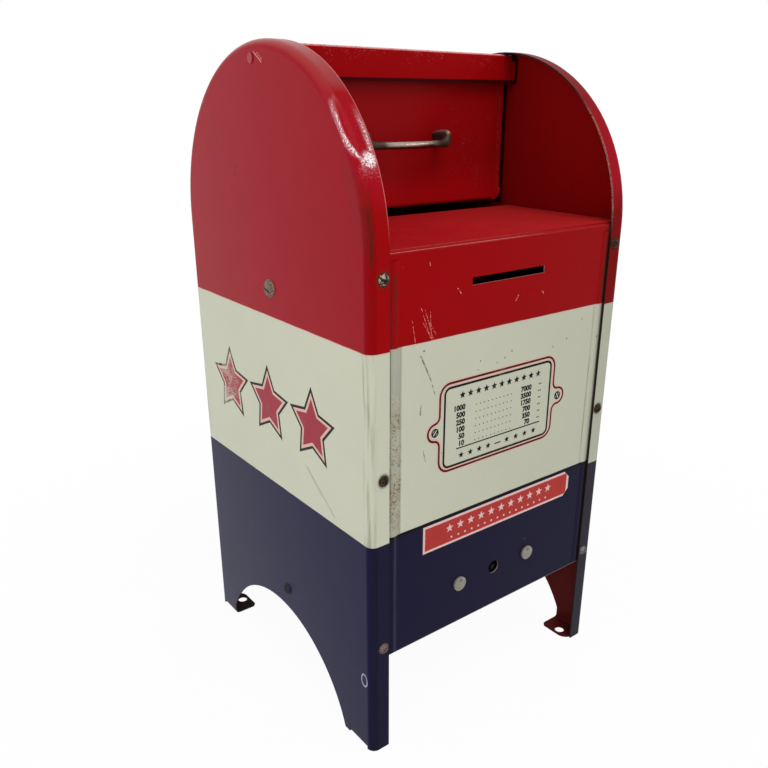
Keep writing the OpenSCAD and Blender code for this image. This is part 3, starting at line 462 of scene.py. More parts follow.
def front_enamel(look, sizes):
    f, patches, speckle = grained("front_enamel", 8, 0.5, 2)
    x, y, z, ax = f.x, f.y, f.z, abs(f.x)
    fold = PANEL_FOLD / MM
    oy, oz, skin = f.skin(PANEL_Y / MM + fold - y, z - (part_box("front_panel")[1].z / MM - fold), fold)
    inner = f.fade(skin, -0.36, -0.28)
    cut_edge = f.inside(skin, -0.5, -0.12, 0.03)
    shelf = f.step(z, 176.9, 177.5) * f.step(y, -57.6, -56.6)
    streaks = f.noise(1.2, 3, 0.6, f.stretched(1, 1, 0.07))

    # rust and dirt along the beads near both edges, a painted highlight on the left bead's ridge, and painted shadow
    # by the right rim
    colour, top, low = banded(f, look, sizes.front_red_from, sizes.front_navy_below)
    white, navy_z = low * (1 - top), sizes.front_navy_below / MM
    bead = f.inside(ax, 44.6, 49.6, 0.5)
    trough = f.inside(ax, 44.2, 45.2, 0.5).most(f.step(ax, 48.2, 49.4))
    outer_bead = f.inside(ax, 46.6, 49.8, 0.5) * (1 - shelf) * f.fade(z, 168, 173)
    ridge_highlight = f.inside(x, -47.5, -46.6, 0.25) * (1 - low)
    seam = f.inside(x, -49.8, -48.75, 0.2) * f.step(streaks + speckle * 0.4, 0.55, 0.72)
    shade = f.mix(top, f.mix(low, (0.004, 0.004, 0.007), (0.06, 0.048, 0.034)), (0.045, 0.006, 0.005))
    colour = f.layers(
        toned(f, colour),
        (bead * trough * white * (0.25 + 0.5 * f.step(streaks, 0.4, 0.7)), (0.13, 0.12, 0.09)),
        (outer_bead * top * 0.45 * f.step(streaks, 0.35, 0.6), (0.035, 0.018, 0.014)),
        (f.inside(z, navy_z - 1.3, navy_z - 0.1, 0.15) * 0.75, (0.008, 0.007, 0.007)),
        # painted highlight along the left bead's ridge, in the navy
        (ridge_highlight * f.step(streaks, 0.3, 0.5) * 0.5, (0.06, 0.06, 0.095)),
        (seam * (0.45 + f.inside(z, 84, 134, 8) * 0.45), (0.022, 0.016, 0.01)),
        # painted shadow by the right rim: a darkening towards the rim, then a dark line beside it that is painted
        # shadow with grime
        (f.step(x, 45.8, 49.2) * 0.55, shade),
        (f.step(x, 48.4, 49.6) * 0.9, (0.012, 0.009, 0.007)))
    rusty = bead * f.inside(z, 88, 132, 7) * (x < 0) * white
    # painted shade: the whole front darkens towards the right
    colour = f.layers(
        f.shaded(colour, 1 - (x + 50) * 0.0012),
        (bead * white * (x < 0) * (0.28 + patches * 0.28), (0.2, 0.2, 0.17)),
        (rusty * f.step(patches, 0.3, 0.62) * 0.4, (0.36, 0.26, 0.16)),
        (rusty * f.step(speckle + patches * 0.4, 0.74, 0.84) * 0.85, (0.075, 0.05, 0.026)),
        (bead * white * f.step(speckle + streaks * 0.3, 0.84, 0.92) * 0.6, look.grime))

    # the shelf's fold has two pale lines of worn paint with a painted highlight, and its top is painted lighter,
    # with a painted sheen growing to the right
    round_fold, folding = oy - oz, oy.least(oz)
    worn_and_highlit = (f.inside(round_fold, -0.93, -0.84, 0.08) * 0.7).most(f.inside(round_fold, 0.56, 0.7, 0.09))
    reach = f.fade(x + (patches - 0.5) * 30, 4, 16).most(
        f.step(patches, 0.6, 0.7) * f.inside(x, 14, 30, 2))
    worn_and_highlit = worn_and_highlit * f.step(folding, 0.02, 0.2) * reach * f.step(speckle, 0.28, 0.48)
    painted_shelf_light = f.mix(f.step(x, -40, 52), (0.43, 0.0078, 0.0125), (0.5, 0.02, 0.021))
    colour = f.layers(
        colour, (worn_and_highlit * 0.85, (0.68, 0.27, 0.25)),
        # painted light and sheen: the shelf's top is made lighter, and more so to the right
        (shelf * 0.9, f.shaded(painted_shelf_light, 0.9 + patches * 0.2)),
        (f.step(speckle + patches * 0.35, 0.84, 0.95) * shelf * 0.35, look.worn_pink))

    # scratches and nicks
    colour = chipped(f, look, colour, top, low, (1 - inner) * f.step(patches, 0.45, 0.62))
    pale = f.marks(x, z, (-40.6, 156, -39.2, 148.4, 0.14), (-37.2, 159.4, -33.2, 149.2, 0.13),
                   (-35.6, 158.6, -32.2, 149, 0.16), (-34.6, 155.6, -31, 150.2, 0.12),
                   (-33.6, 158.2, -33, 149.6, 0.12), (-36.4, 154.8, -32.6, 148.8, 0.12),
                   (-21.9, 162.6, -21, 161.5, 0.28), (-22.8, 163.6, -22.4, 163.2, 0.2),
                   (3.4, 156, 4.6, 157.6, 0.35), (16, 157.6, 16.7, 156.7, 0.3),
                   (-34.2, 172.9, -34, 171.9, 0.22))
    dark = f.marks(x, z, (-37, 144.2, -33, 136.2, 0.55), (-33, 136.2, -30.8, 130, 0.35),
                   (-36.6, 128, -36.9, 125, 0.5), (-35.4, 112, -34.4, 108, 0.35))
    dots = 0
    for dot_x, dot_z, size in ((-35.8, 145.8, 0.5), (38.4, 144.2, 0.4), (30.9, 138.2, 0.45), (23.7, 136.4, 0.35),
                               (3, 138.7, 0.42), (-11.6, 137.9, 0.4), (-12.4, 135, 0.35), (-3.8, 135.9, 0.35)):
        dots = f.fade(f.length(x - dot_x, z - dot_z), size * 0.4, size) + dots
    colour = f.layers(
        colour, (pale * top * f.step(speckle, 0.4, 0.56), (0.8, 0.34, 0.28)),
        (dark * white * f.step(speckle, 0.42, 0.55) * 0.85, look.grime),
        (dots.least(1) * white * 0.85, look.grime),
        (inner, back_of(f, look, patches)),
        (cut_edge, f.mix(patches, (0.2, 0.19, 0.17), (0.34, 0.32, 0.29))))
    coat = (shelf * 0.12 + f.step(folding, 0.05, 0.4) * 0.1
            + (1 - shelf) * (x + 46) * 0.0006).most(0) * (1 - inner)
    return f.surface(colour, 0.46 + (patches - 0.5) * 0.16, dented(f) + [(worn_and_highlit + dark, -0.02)],
                     coat=coat, **SHINE)


def roof_enamel(look, sizes):
    f, patches, speckle = grained("roof_enamel", 7, 0.5, 2)
    x, y, z = f.x, f.y, f.z
    colour, top, low = banded(f, look, sizes.front_red_from, sizes.front_navy_below)
    header = y < 1.6
    # a pale pink line along the crest: worn paint with a painted highlight
    crest = f.step(z, 233.65, 233.85) * header
    worn_and_highlit = crest * f.step(speckle + patches * 0.45, 0.52, 0.74)
    below = f.step(z, 226, 234.5) * header * f.step(speckle + patches * 0.4, 0.86, 0.95)
    # painted shade: a near-black band along the header's lower lip
    lip_shade_z = z - (x + 45) * 0.006                            # the painted shade reaches higher to the right
    lip_shade = f.fade(lip_shade_z, 224.3, 224.9) * header * (z > 220)
    colour = f.layers(toned(f, colour), (worn_and_highlit * 0.85, (0.76, 0.33, 0.34)),
                      (below * 0.55, look.worn_pink), (lip_shade * 0.93, (0.014, 0.002, 0.002)))
    colour = chipped(f, look, colour, top, low, f.step(patches, 0.4, 0.6))
    round_in = f.length(y, (z - CROWN_Z / MM).most(0))
    inner = f.fade(round_in, 57.8, 57.95) * (1 - header)
    colour = f.mix(inner, colour, back_of(f, look, patches))
    coat = (1 - header) * (1 - inner) * 0.35 + crest * 0.5
    return f.surface(colour, 0.42 + (patches - 0.5) * 0.2, dented(f) + [(worn_and_highlit, -0.02)],
                     coat=coat.least(1), **SHINE)


def door_enamel(look):
    f, patches, speckle = grained("door_enamel", 9, 0.5, 2)
    x, y, z = f.x, f.y, f.z
    few = f.specks(15, 0.8).most(f.specks(6, 0.4) * 0.6) * f.step(patches, 0.42, 0.6)
    scuff = f.inside(x, 24, 47, 6) * f.inside(z, 186, 226, 8)
    rim = f.step(abs(x), 50.6, 51.6).most(f.fade(z, 180.4, 181.2))
    behind = f.step(y, 2.5, 2.7)
    colour = f.layers(
        toned(f, f.mix(patches, look.red, (0.25, 0.0035, 0.005)), 0.14),
        (few * 0.55, look.worn_pink),
        (scuff * f.step(speckle + patches * 0.4, 0.86, 0.95) * 0.3, look.worn_pink),
        # pink speckles along the door's side edges: worn paint with a painted edge highlight
        (rim * (z > 183) * f.step(speckle, 0.5, 0.7) * 0.35, (0.4, 0.09, 0.08)),
        (behind, back_of(f, look, patches)))
    # painted light: the door is lighter towards its bottom, standing in for light from the shelf below
    return f.surface(f.shaded(colour, 1 + f.fade(z, 181, 200) * 0.45), 0.44 + (patches - 0.5) * 0.18,
                     dented(f), coat=(1 - behind) * (0.03 + patches * 0.05), **SHINE)


def bare_tin(look):
    f = Finish("bare_tin")
    spangle = f.cells(0.22)[1]
    rolled, stain = f.noise(0.5, 3, 0.6, f.stretched(0.05, 1, 1)), f.noise(11, 4, 0.65)
    colour = f.layers(f.shaded(look.tin, 0.78 + spangle * 0.16 + rolled * 0.22),
                      (f.step(stain, 0.5, 0.78) * 0.55, look.rust), (f.specks(7, 0.9) * 0.7, look.rust))
    return f.surface(colour, 0.34 + (rolled - 0.5) * 0.22 + stain * 0.15, [(rolled, 0.012), (stain, 0.02)],
                     metal=0.92 - f.step(stain, 0.52, 0.8) * 0.5)


def worn_nickel(look):
    """Bright where the fingers pull, brown towards the ends; the grip's lower half has painted shade and the right
    lug's top a painted highlight.
    """
    f, patches, speckle = grained("worn_nickel", 3, 0.45)
    ends = f.step(abs(f.x) + (patches - 0.5) * 4, 8, 13.5)
    lug = f.step(abs(f.x), 16.8, 17.6)
    grip_z = (HANDLE[0].z + GRIP_D / 2) / MM
    colour = f.layers(
        look.nickel, (ends, (0.06, 0.036, 0.026)), (lug * 0.75, (0.075, 0.055, 0.043)),
        # painted highlight on the top of the right lug
        (lug * (f.x > 0) * f.step(f.z, 205.8, 206.8) * 0.6, (0.42, 0.31, 0.26)),
        # painted shade on the grip's lower half
        (f.fade(f.z, grip_z - 0.7, grip_z + 0.3) * (1 - lug) * 0.8, (0.045, 0.026, 0.019)),
        (f.step(speckle, 0.5, 0.7) * (0.35 + ends * 0.3), (0.05, 0.031, 0.023)))
    return f.surface(colour, 0.14 + ends * 0.26 + speckle * 0.18, [(speckle, 0.05), (patches, 0.06)],
                     metal=0.95 - ends * 0.35, Specular_IOR_Level=0.25)


def screw_metal(look):
    """Tarnished heads: one is rubbed pale, and those of the floor are painted over."""
    f, patches, speckle = grained("screw_metal", 2.2, 0.5)
    x, y, z = f.x, f.y, f.z
    lumps, on_side = f.noise(0.9, 2, 0.6), abs(x) > 56
    colour = f.layers(
        look.screw, (f.step(speckle, 0.35, 0.6), (0.012, 0.008, 0.006)),
        (f.inside(z, 160, 176, 1) * (x < -40) * (y < -40) * f.step(lumps, 0.48, 0.6),
         (0.36, 0.3, 0.22)),
        (on_side * (z > 90) * f.step(speckle, 0.4, 0.55) * 0.85, (0.31, 0.23, 0.19)),
        ((z < 50) * (y < -58) * f.step(speckle, 0.38, 0.55) * 0.8,
         f.mix(x > 0, (0.24, 0.19, 0.18), (0.27, 0.27, 0.31))),
        (f.step(patches + speckle * 0.5, 0.84, 0.94) * 0.5, (0.14, 0.11, 0.085)),
        (on_side * (z < 60) * (0.6 + 0.35 * f.step(speckle, 0.4, 0.6)), (0.026, 0.025, 0.034)))
    return f.surface(colour, 0.48 + speckle * 0.3, [(speckle, 0.09), (patches, 0.04)],
                     metal=0.35, Specular_IOR_Level=0.1)


def lock_screw_metal(look):
    """Flat grey-beige discs, dull and lightly scratched."""
    f, patches, speckle = grained("lock_screw_metal", 2.6, 0.5)
    scored = f.noise(0.35, 3, 0.6, f.stretched(1, 1, 0.12))
    colour = f.shaded(f.mix(patches, (0.33, 0.31, 0.27), (0.19, 0.17, 0.14)), 0.8 + scored * 0.35)
    colour = f.mix(f.step(speckle, 0.56, 0.72) * 0.5, colour, (0.11, 0.09, 0.07))
    return f.surface(colour, 0.46 + speckle * 0.2, [(scored, 0.012)], metal=0.35)


def dark_steel(look):
    """Old steel inside the bank: springs, posts and nuts, painted near-black near the key hole as painted shade in
    the hole.
    """
    f, patches, speckle = grained("dark_steel", 3, 0.5)
    # painted shade: the parts in the key hole are made near-black
    colour = f.layers((0.085, 0.075, 0.065), (f.step(patches, 0.4, 0.65), (0.055, 0.028, 0.014)),
                      ((abs(f.x) < 4) * (f.y < -44), (0.006, 0.004, 0.003)))
    return f.surface(colour, 0.45 + speckle * 0.3, [(speckle, 0.03)], metal=0.6, Specular_IOR_Level=0.1)


def rod_metal(look):
    """The rod's ends were painted over with the sides."""
    f = Finish("rod_metal")
    speckle, painted = f.noise(0.5, 3, 0.7), f.step(abs(f.x), 56.9, 57)
    colour = f.layers(look.tin, (speckle, (0.2, 0.17, 0.14)), (painted, look.red))
    return f.surface(colour, 0.36 + speckle * 0.15, [(speckle, 0.01)],
                     coat=painted * 0.8, metal=(1 - painted) * 0.85, **SHINE)


def label_foil(look):
    """Red foil with a pale border, its right corners clipped."""
    f = Finish("label_foil")
    low, high = LABEL[0] / MM, LABEL[1] / MM
    to_right, in_z = high.x - f.x, (f.z - low.z).least(high.z - f.z)
    inset = (f.x - low.x).least(to_right).least(in_z)
    clipped = inset.least((to_right + in_z - 1.6) * 0.707).least(to_right - 0.35)
    border = f.fade(clipped + (f.noise(1.2, 2) - 0.5) * 0.25, 0.75, 0.95)
    patches, speckle = f.noise(6, 3), f.noise(0.5, 2, 0.7)
    field = f.shaded(f.mix(patches, look.label_red, (0.4, 0.033, 0.03)), 0.95 + (speckle - 0.5) * 0.2)
    colour = f.layers(field, (border, f.shaded(look.label_edge, 0.85 + speckle * 0.3)),
                      (f.specks(6, 0.5) * 0.5, (0.7, 0.45, 0.42)))
    return f.surface(colour, 0.4 + speckle * 0.12, [(speckle, 0.008)], coat=0.1, **SHINE)


def ink(name, colour, under, worn=0.35):
    """Printed ink, a little thin in places so that the enamel shows."""
    f, patches, speckle = grained(name, 6, 0.45, 2)
    thin = f.step(speckle + (patches - 0.5) * 0.5, 0.6, 0.78) * worn
    return f.surface(f.mix(thin, colour, under), 0.5 + (speckle - 0.5) * 0.2, [(speckle, 0.004)],
                     coat=0, **SHINE)


def ink_black(look):
    return ink("ink_black", look.print_black, look.cream)


def star_ink(name, colour, under):
    """As the other inks, but faded at the rear of the side and as glossy as the side is."""
    f, patches, speckle = grained(name, 5, 0.5)
    rear = f.step(f.y, 14, 34)
    thin = f.step(speckle + (patches - 0.5) * 0.6 + rear * 0.16, 0.62, 0.8) * (0.25 + rear * 0.45)
    return f.surface(f.mix(thin, colour, under), 0.46 + (speckle - 0.5) * 0.2, [(speckle, 0.004)],
                     coat=0.2 + (f.y + 55) * 0.001, **SHINE)


def once(finish, look):
    """A finish is made once and shared by all the pieces that wear it."""
    return bpy.data.materials.get(finish.__name__) or finish(look)


# ---------- hand tools ----------

def start_clean():
    """Nothing is selected, and no mesh is open for editing."""
    if bpy.context.object and bpy.context.object.mode != "OBJECT":
        close_mesh()
    bpy.ops.object.select_all(action="DESELECT")


def take(*pieces):
    """Only these pieces are selected, and the first is active."""
    start_clean()
    for piece in pieces:
        piece.select_set(True)
    bpy.context.view_layer.objects.active = pieces[0]


def open_mesh(piece):
    """Opens a piece's mesh for editing, with all of it selected."""
    take(piece)
    bpy.ops.object.mode_set(mode="EDIT")
    bpy.ops.mesh.select_all(action="SELECT")


def close_mesh():
    bpy.ops.object.mode_set(mode="OBJECT")


def pick(kind, wanted):
    """In the open mesh, selects the faces or vertices for which wanted(element) holds."""
    bpy.ops.mesh.select_mode(type=kind)
    bpy.ops.mesh.select_all(action="DESELECT")
    mesh = bpy.context.object.data
    shape = bmesh.from_edit_mesh(mesh)
    for element in {"FACE": shape.faces, "VERT": shape.verts}[kind]:
        element.select_set(bool(wanted(element)))
    shape.select_flush_mode()
    bmesh.update_edit_mesh(mesh)


def extrude(*way):
    bpy.ops.mesh.extrude_region_move(TRANSFORM_OT_translate={"value": way})


def middle(face):
    return face.calc_center_median()


def named(piece, name):
    piece.name = piece.data.name = name
    return piece


def settle(piece, name):
    """Puts the piece's place, turn and size into its mesh, and names it."""
    take(piece)
    bpy.ops.object.transform_apply(location=True, rotation=True, scale=True)
    return named(piece, name)


def modify(piece, kind, **settings):
    """Adds a modifier and applies it."""
    take(piece)
    added = piece.modifiers.new(kind.title(), kind)
    for name, value in settings.items():
        setattr(added, name, value)
    bpy.ops.object.modifier_apply(modifier=added.name)


def copy_of(piece, place=(0, 0, 0), turn=(0, 0, 0), size=1.0):
    """A copy with its own mesh, turned, sized and moved."""
    take(piece)
    bpy.ops.object.duplicate(linked=False)
    made = bpy.context.object
    made.rotation_euler, made.location, made.scale = turn, place, (size, size, size)
    return settle(made, made.name)


def drop(piece):
    bpy.data.objects.remove(piece)


def one_piece(pieces, name):
    take(*pieces)
    if len(pieces) > 1:
        bpy.ops.object.join()
    return named(bpy.context.object, name)


def tidy_skin(piece, smooth_angle=35):
    """Merges doubles, turns all faces outwards and smooths the round ones."""
    open_mesh(piece)
    bpy.ops.mesh.remove_doubles(threshold=1e-7)
    bpy.ops.mesh.normals_make_consistent(inside=False)
    close_mesh()
    bpy.ops.object.shade_smooth_by_angle(angle=math.radians(smooth_angle))


def wear(piece, material):
    piece.data.materials.clear()
    piece.data.materials.append(material)


def dress(piece, material, body, slot, *replaced):
    """Gives a finished piece its finish, and says what it rides on and stands for."""
    wear(piece, material)
    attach(piece, body)
    if replaced:
        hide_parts(*replaced)


# ---------- flat prints ----------

def flat_shape(points, name):
    """A flat face with this outline, lying in the x, y plane and looking up."""
    start_clean()
    bpy.ops.mesh.primitive_circle_add(vertices=len(points), radius=0.01, fill_type="NGON")
    piece = bpy.context.object
    open_mesh(piece)
    shape = bmesh.from_edit_mesh(piece.data)
    rim = [loop.vert for loop in shape.faces[:][0].loops]
    for vert, (x, y) in zip(rim, points):
        vert.co = (x, y, 0.0)
    shape.normal_update()
    bmesh.update_edit_mesh(piece.data)
    bpy.ops.mesh.normals_make_consistent(inside=False)
    if bmesh.from_edit_mesh(piece.data).faces[:][0].normal.z < 0:
        bpy.ops.mesh.flip_normals()
    close_mesh()
    piece.name = name
    return piece


def inset_flat(piece, by, keep):
    """Insets a flat face and keeps its middle, or the band round it."""
    open_mesh(piece)
    bpy.ops.mesh.inset(thickness=by, use_even_offset=True)
    if keep == "middle":
        bpy.ops.mesh.select_all(action="INVERT")
    bpy.ops.mesh.delete(type="FACE")
    close_mesh()
    return piece


def star_points(radius, waist=0.52):
    """Outline of a five-pointed star that stands on two points."""
    reach = [radius * (waist if i % 2 else 1.0) for i in range(10)]
    return [(reach[i] * math.sin(math.radians(36 * i)), reach[i] * math.cos(math.radians(36 * i)))
            for i in range(10)][::-1]


def arc(cx, cy, r, start, end, steps):
    """Points on a circle from one angle to another, in degrees."""
    turns = [math.radians(start + (end - start) * i / steps) for i in range(steps + 1)]
    return [(cx + r * math.cos(turn), cy + r * math.sin(turn)) for turn in turns]


def plate(left, right, low, high, r, steps, right_ear=(), left_ear=()):
    """Outline with round corners, and perhaps an ear on each side."""
    return [*arc(right - r, low + r, r, -90, 0, steps), *right_ear, *arc(right - r, high - r, r, 0, 90, steps),
            *arc(left + r, high - r, r, 90, 180, steps), *left_ear, *arc(left + r, low + r, r, 180, 270, steps)]


def bar(left, right, y, thick):
    """A flat bar; its measures are in millimetres."""
    left, right, low, high = (each * MM for each in (left, right, y - thick / 2, y + thick / 2))
    return flat_shape([(left, low), (right, low), (right, high), (left, high)], "bar")


def stand_up(piece, name, place, hand=0):
    """Thickens a flat print and stands it up: hand is 0 for the front, -1 for the left side, 1 for the right."""
    modify(piece, "SOLIDIFY", thickness=INK_T, offset=0.0)
    piece.rotation_euler, piece.location = (math.pi / 2, 0, hand * math.pi / 2), place
    return settle(piece, name)


def print_front(pieces, name, material, lift=0.0, slot="painted_front"):
    """Puts a print on the front panel; lift raises it over another print."""
    stood = stand_up(one_piece(pieces, name), name, (0, PANEL_Y - lift, 0))
    dress(stood, material, "box", slot)


# ---------- screws ----------

def slotted_head(head_d, height, shank_d, length, slot_w, flat=False):
    """A screw of these millimetres that looks up, its head standing on z = 0 and its shank below."""
    radius, height, shank_r, length = head_d / 2 * MM, height * MM, shank_d / 2 * MM, length * MM
    start_clean()
    if flat:
        bpy.ops.mesh.primitive_cylinder_add(vertices=48, radius=radius, depth=height, location=(0, 0, height / 2))
        slot, slot_y, edge = (0.42 * radius, slot_w, 0.9 * height), 0.52 * radius, 0.12 * MM
    else:
        ball = (radius * radius + height * height) / (2 * height)
        bpy.ops.mesh.primitive_uv_sphere_add(segments=40, ring_count=64, radius=ball,
                                             location=(0, 0, height - ball))
        slot, slot_y, edge = (2.4 * radius, slot_w, height), 0, 0.07 * MM
    screw = settle(bpy.context.object, "screw")
    open_mesh(screw)
    if not flat:
        bpy.ops.mesh.bisect(plane_co=(0, 0, 0), plane_no=(0, 0, 1), clear_inner=True, use_fill=True)
    pick("FACE", lambda face: face.normal.z < -0.9 and middle(face).z < 0.05 * MM)
    bpy.ops.mesh.inset(thickness=radius - shank_r, use_even_offset=True)
    extrude(0, 0, -length)
    close_mesh()
    bpy.ops.mesh.primitive_cube_add(size=1, location=(0, slot_y, height))
    cutter = bpy.context.object
    cutter.scale = slot
    settle(cutter, "slot_cutter")
    modify(screw, "BOOLEAN", object=cutter, operation="DIFFERENCE", solver="EXACT")
    drop(cutter)
    modify(screw, "BEVEL", width=edge, segments=2, limit_method="ANGLE", angle_limit=math.radians(40))
    tidy_skin(screw)
    return screw


# ---------- pieces ----------

class Piece:
    """What every piece's operator shares."""

    bl_options = {"REGISTER", "UNDO"}

    def execute(self, context):
        start_clean()
        self.build(context.scene.tin_bank_sizes, context.scene.tin_bank_colours)
        start_clean()
        return {"FINISHED"}


class DoorHandle(Piece, bpy.types.Operator):
    """The bowed grip between its two lugs, with the tenons riveted behind the door"""

    bl_idname = "tin_bank.door_handle"
    bl_label = "Door handle"

    def build(self, sizes, look):
        low, high = HANDLE
        lug_in, lug_out, lug_top = 16.95 * MM, 19.5 * MM, high.z - 0.8 * MM
        door_front, door_back = 2.2 * MM, 2.8 * MM
        grip_front, grip_back = -6.7 * MM, -5.4 * MM + GRIP_D / 2
        bpy.ops.mesh.primitive_cube_add(size=1, location=(
            (lug_in + lug_out) / 2, (grip_front + door_front) / 2, (low.z + lug_top) / 2))
        handle = bpy.context.object
        handle.scale = (lug_out - lug_in, door_front - grip_front, lug_top - low.z)
        settle(handle, "door_handle")
        open_mesh(handle)
        for place, normal in (((0, grip_back, 0), (0, 1, 0)), ((0, -0.6 * MM, 0), (0, 1, 0)),
                              ((0, 0, low.z + GRIP_D), (0, 0, 1))):
            bpy.ops.mesh.select_all(action="SELECT")
            bpy.ops.mesh.bisect(plane_co=place, plane_no=normal)
        # the lug is hollowed under its neck and rises a little to the front
        pick("VERT", lambda vert: vert.co.z < low.z + 0.1 * MM and vert.co.y > -1.0 * MM)
        bpy.ops.transform.translate(value=(0, 0, 0.9 * MM))
        pick("VERT", lambda vert: vert.co.z > high.z - 1.0 * MM and vert.co.y > 1.0 * MM)
        bpy.ops.transform.translate(value=(0, 0, -0.9 * MM))
        # half the grip is drawn out of the lug in five lengths that bow forward
        pick("FACE", lambda face: face.normal.x < -0.9 and middle(face).z < low.z + GRIP_D
             and middle(face).y < grip_back)
        lengths, at = 5, lug_in
        for i in range(lengths):
            reach = lug_in * (1 - (i + 1) / lengths)
            extrude(reach - at, -sizes.grip_bow * ((at / lug_in) ** 2 - (reach / lug_in) ** 2), 0)
            at = reach
        bpy.ops.mesh.delete(type="FACE")
        # tenon through the door and its spread head behind
        pick("FACE", lambda face: face.normal.y > 0.9 and middle(face).z > low.z + GRIP_D)
        bpy.ops.mesh.inset(thickness=0.12 * MM)
        extrude(0, door_back - door_front, 0)
        extrude(0, 0.05 * MM, 0)
        bpy.ops.transform.resize(value=(1.7, 1, 1.2))
        extrude(0, 0.6 * MM, 0)
        bpy.ops.transform.resize(value=(0.8, 1, 0.85))
        close_mesh()
        modify(handle, "MIRROR", use_axis=(True, False, False), use_clip=True, merge_threshold=1e-5)
        modify(handle, "SUBSURF", levels=3, render_levels=3)
        tidy_skin(handle, 60)
        dress(handle, once(worn_nickel, look), "door", "nickel", "door_handle")


class Screws(Piece, bpy.types.Operator):
    """Six domed screws in each pair of rims, two in each side, and two flat discs beside the key hole"""

    bl_idname = "tin_bank.screws"
    bl_label = "Screws"

    def build(self, sizes, look):
        slot, quarter = sizes.slot_w, math.pi / 2
        head_d, height, shank_d = 3.9, 1.2, 2.4
        for node, face_y in (("front_rim_screws", FRONT_Y), ("rear_rim_screws", BACK_Y)):
            low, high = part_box(node)
            out, tops = rim_screw_places(node)
            looking = (quarter if face_y < 0 else -quarter, 0, 0)
            self.fit(look, node, slotted_head(head_d, height, shank_d, (high.y - low.y) / MM - height, slot),
                     [(driven, ((-out, out)[i // 3], face_y, tops[i % 3]), looking)
                      for i, driven in enumerate((38, 95, 62, 70, 20, -30))])
        for node, head_d, height, shank_d, length, driven in (("brace_screws", 6.6, 1.8, 3.2, 6.4, 68),
                                                              ("floor_screws", 4.8, 1.3, 2.4, 4.6, 20)):
            low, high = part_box(node)
            self.fit(look, node, slotted_head(head_d, height, shank_d, length, slot),
                     [(driven * -hand, (hand * WALL_X, (low.y + high.y) / 2, (low.z + high.z) / 2),
                       (0, hand * quarter, 0)) for hand in (-1, 1)])
        low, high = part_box("lock_fixing_screws")
        head_d, height, shank_d = 5.5, 0.9, 3
        master = slotted_head(head_d, height, shank_d, (high.y - low.y) / MM - height, 1.2 * slot, flat=True)
        made = [copy_of(master, (hand * (high.x - LOCK_HEAD_IN), PANEL_Y, (low.z + high.z) / 2), (quarter, 0, 0))
                for hand in (-1, 1)]
        drop(master)
        dress(one_piece(made, "lock_screws_flat"), once(lock_screw_metal, look), "box", "worn_screws",
              "lock_fixing_screws")

    def fit(self, look, node, master, screws):
        """Copies a screw; each has how far it is driven in degrees, its place and the way it looks."""
        made = []
        for driven, place, looking in screws:
            turned = copy_of(master, turn=(0, 0, math.radians(driven)))
            made.append(copy_of(turned, place, looking))
            drop(turned)
        drop(master)
        dress(one_piece(made, node + "_turned"), once(screw_metal, look), "box", "worn_screws", node)


class SideStars(Piece, bpy.types.Operator):
    """Three outlined stars across each side panel"""

    bl_idname = "tin_bank.side_stars"
    bl_label = "Stars on the sides"

    def build(self, sizes, look):
        middle_y, middle_z, line = 3.2 * MM, 114.9 * MM, sizes.star_outline
        layers = [(name, star_ink("star_" + name[:-1], colour, look.cream), inset, keep, lift)
                  for name, colour, inset, keep, lift in (
                      ("outlines", look.print_black, line, "band", 0.03 * MM),
                      ("inlines", look.print_pink, 0.9 * line, "middle", 0.0),
                      ("fields", look.print_red, line + sizes.star_inline, "middle", 0.02 * MM))]
        for hand, side in ((-1, "left"), (1, "right")):
            for name, finish, inset, keep, lift in layers:
                stars = []
                for i in (-1, 0, 1):
                    star = inset_flat(flat_shape(star_points(sizes.star_size), "star"), inset, keep)
                    star.location = (hand * (middle_y + i * sizes.star_pitch), middle_z, 0)
                    stars.append(settle(star, "star"))
                stood = stand_up(one_piece(stars, name), f"star_{name}_{side}", (hand * (WALL_X + lift), 0, 0), hand)
                dress(stood, finish, "box", "painted_side")


PLATE_MID = 117.1 * MM                  # height of the plate's ears
PLATE_EARS = (-30.6 * MM, 28.2 * MM)    # and their middles


def plate_outline(grow=0.0):
    """Outline of the rate plate with an ear on each side, grown outwards by a distance."""
    left, right, low, high = -29.1 * MM - grow, 25.9 * MM + grow, 101.6 * MM - grow, 133.3 * MM + grow
    corner, ear, fillet = 4.6 * MM + grow, 3.4 * MM + grow, 2.0 * MM - grow

    def ear_points(edge, centre):
        rise = math.sqrt((ear + fillet) ** 2 - (edge + fillet - centre) ** 2)
        meet = math.degrees(math.atan2(rise, edge + fillet - centre))
        return (arc(edge + fillet, PLATE_MID - rise, fillet, 180, 180 - meet, 5)
                + arc(centre, PLATE_MID, ear, -meet, meet, 16)
                + arc(edge + fillet, PLATE_MID + rise, fillet, 180 + meet, 180, 5))
    left_ear = [(-x, 2 * PLATE_MID - y) for x, y in ear_points(-left, -PLATE_EARS[0])]
    return plate(left, right, low, high, corner, 8, ear_points(right, PLATE_EARS[1]), left_ear)


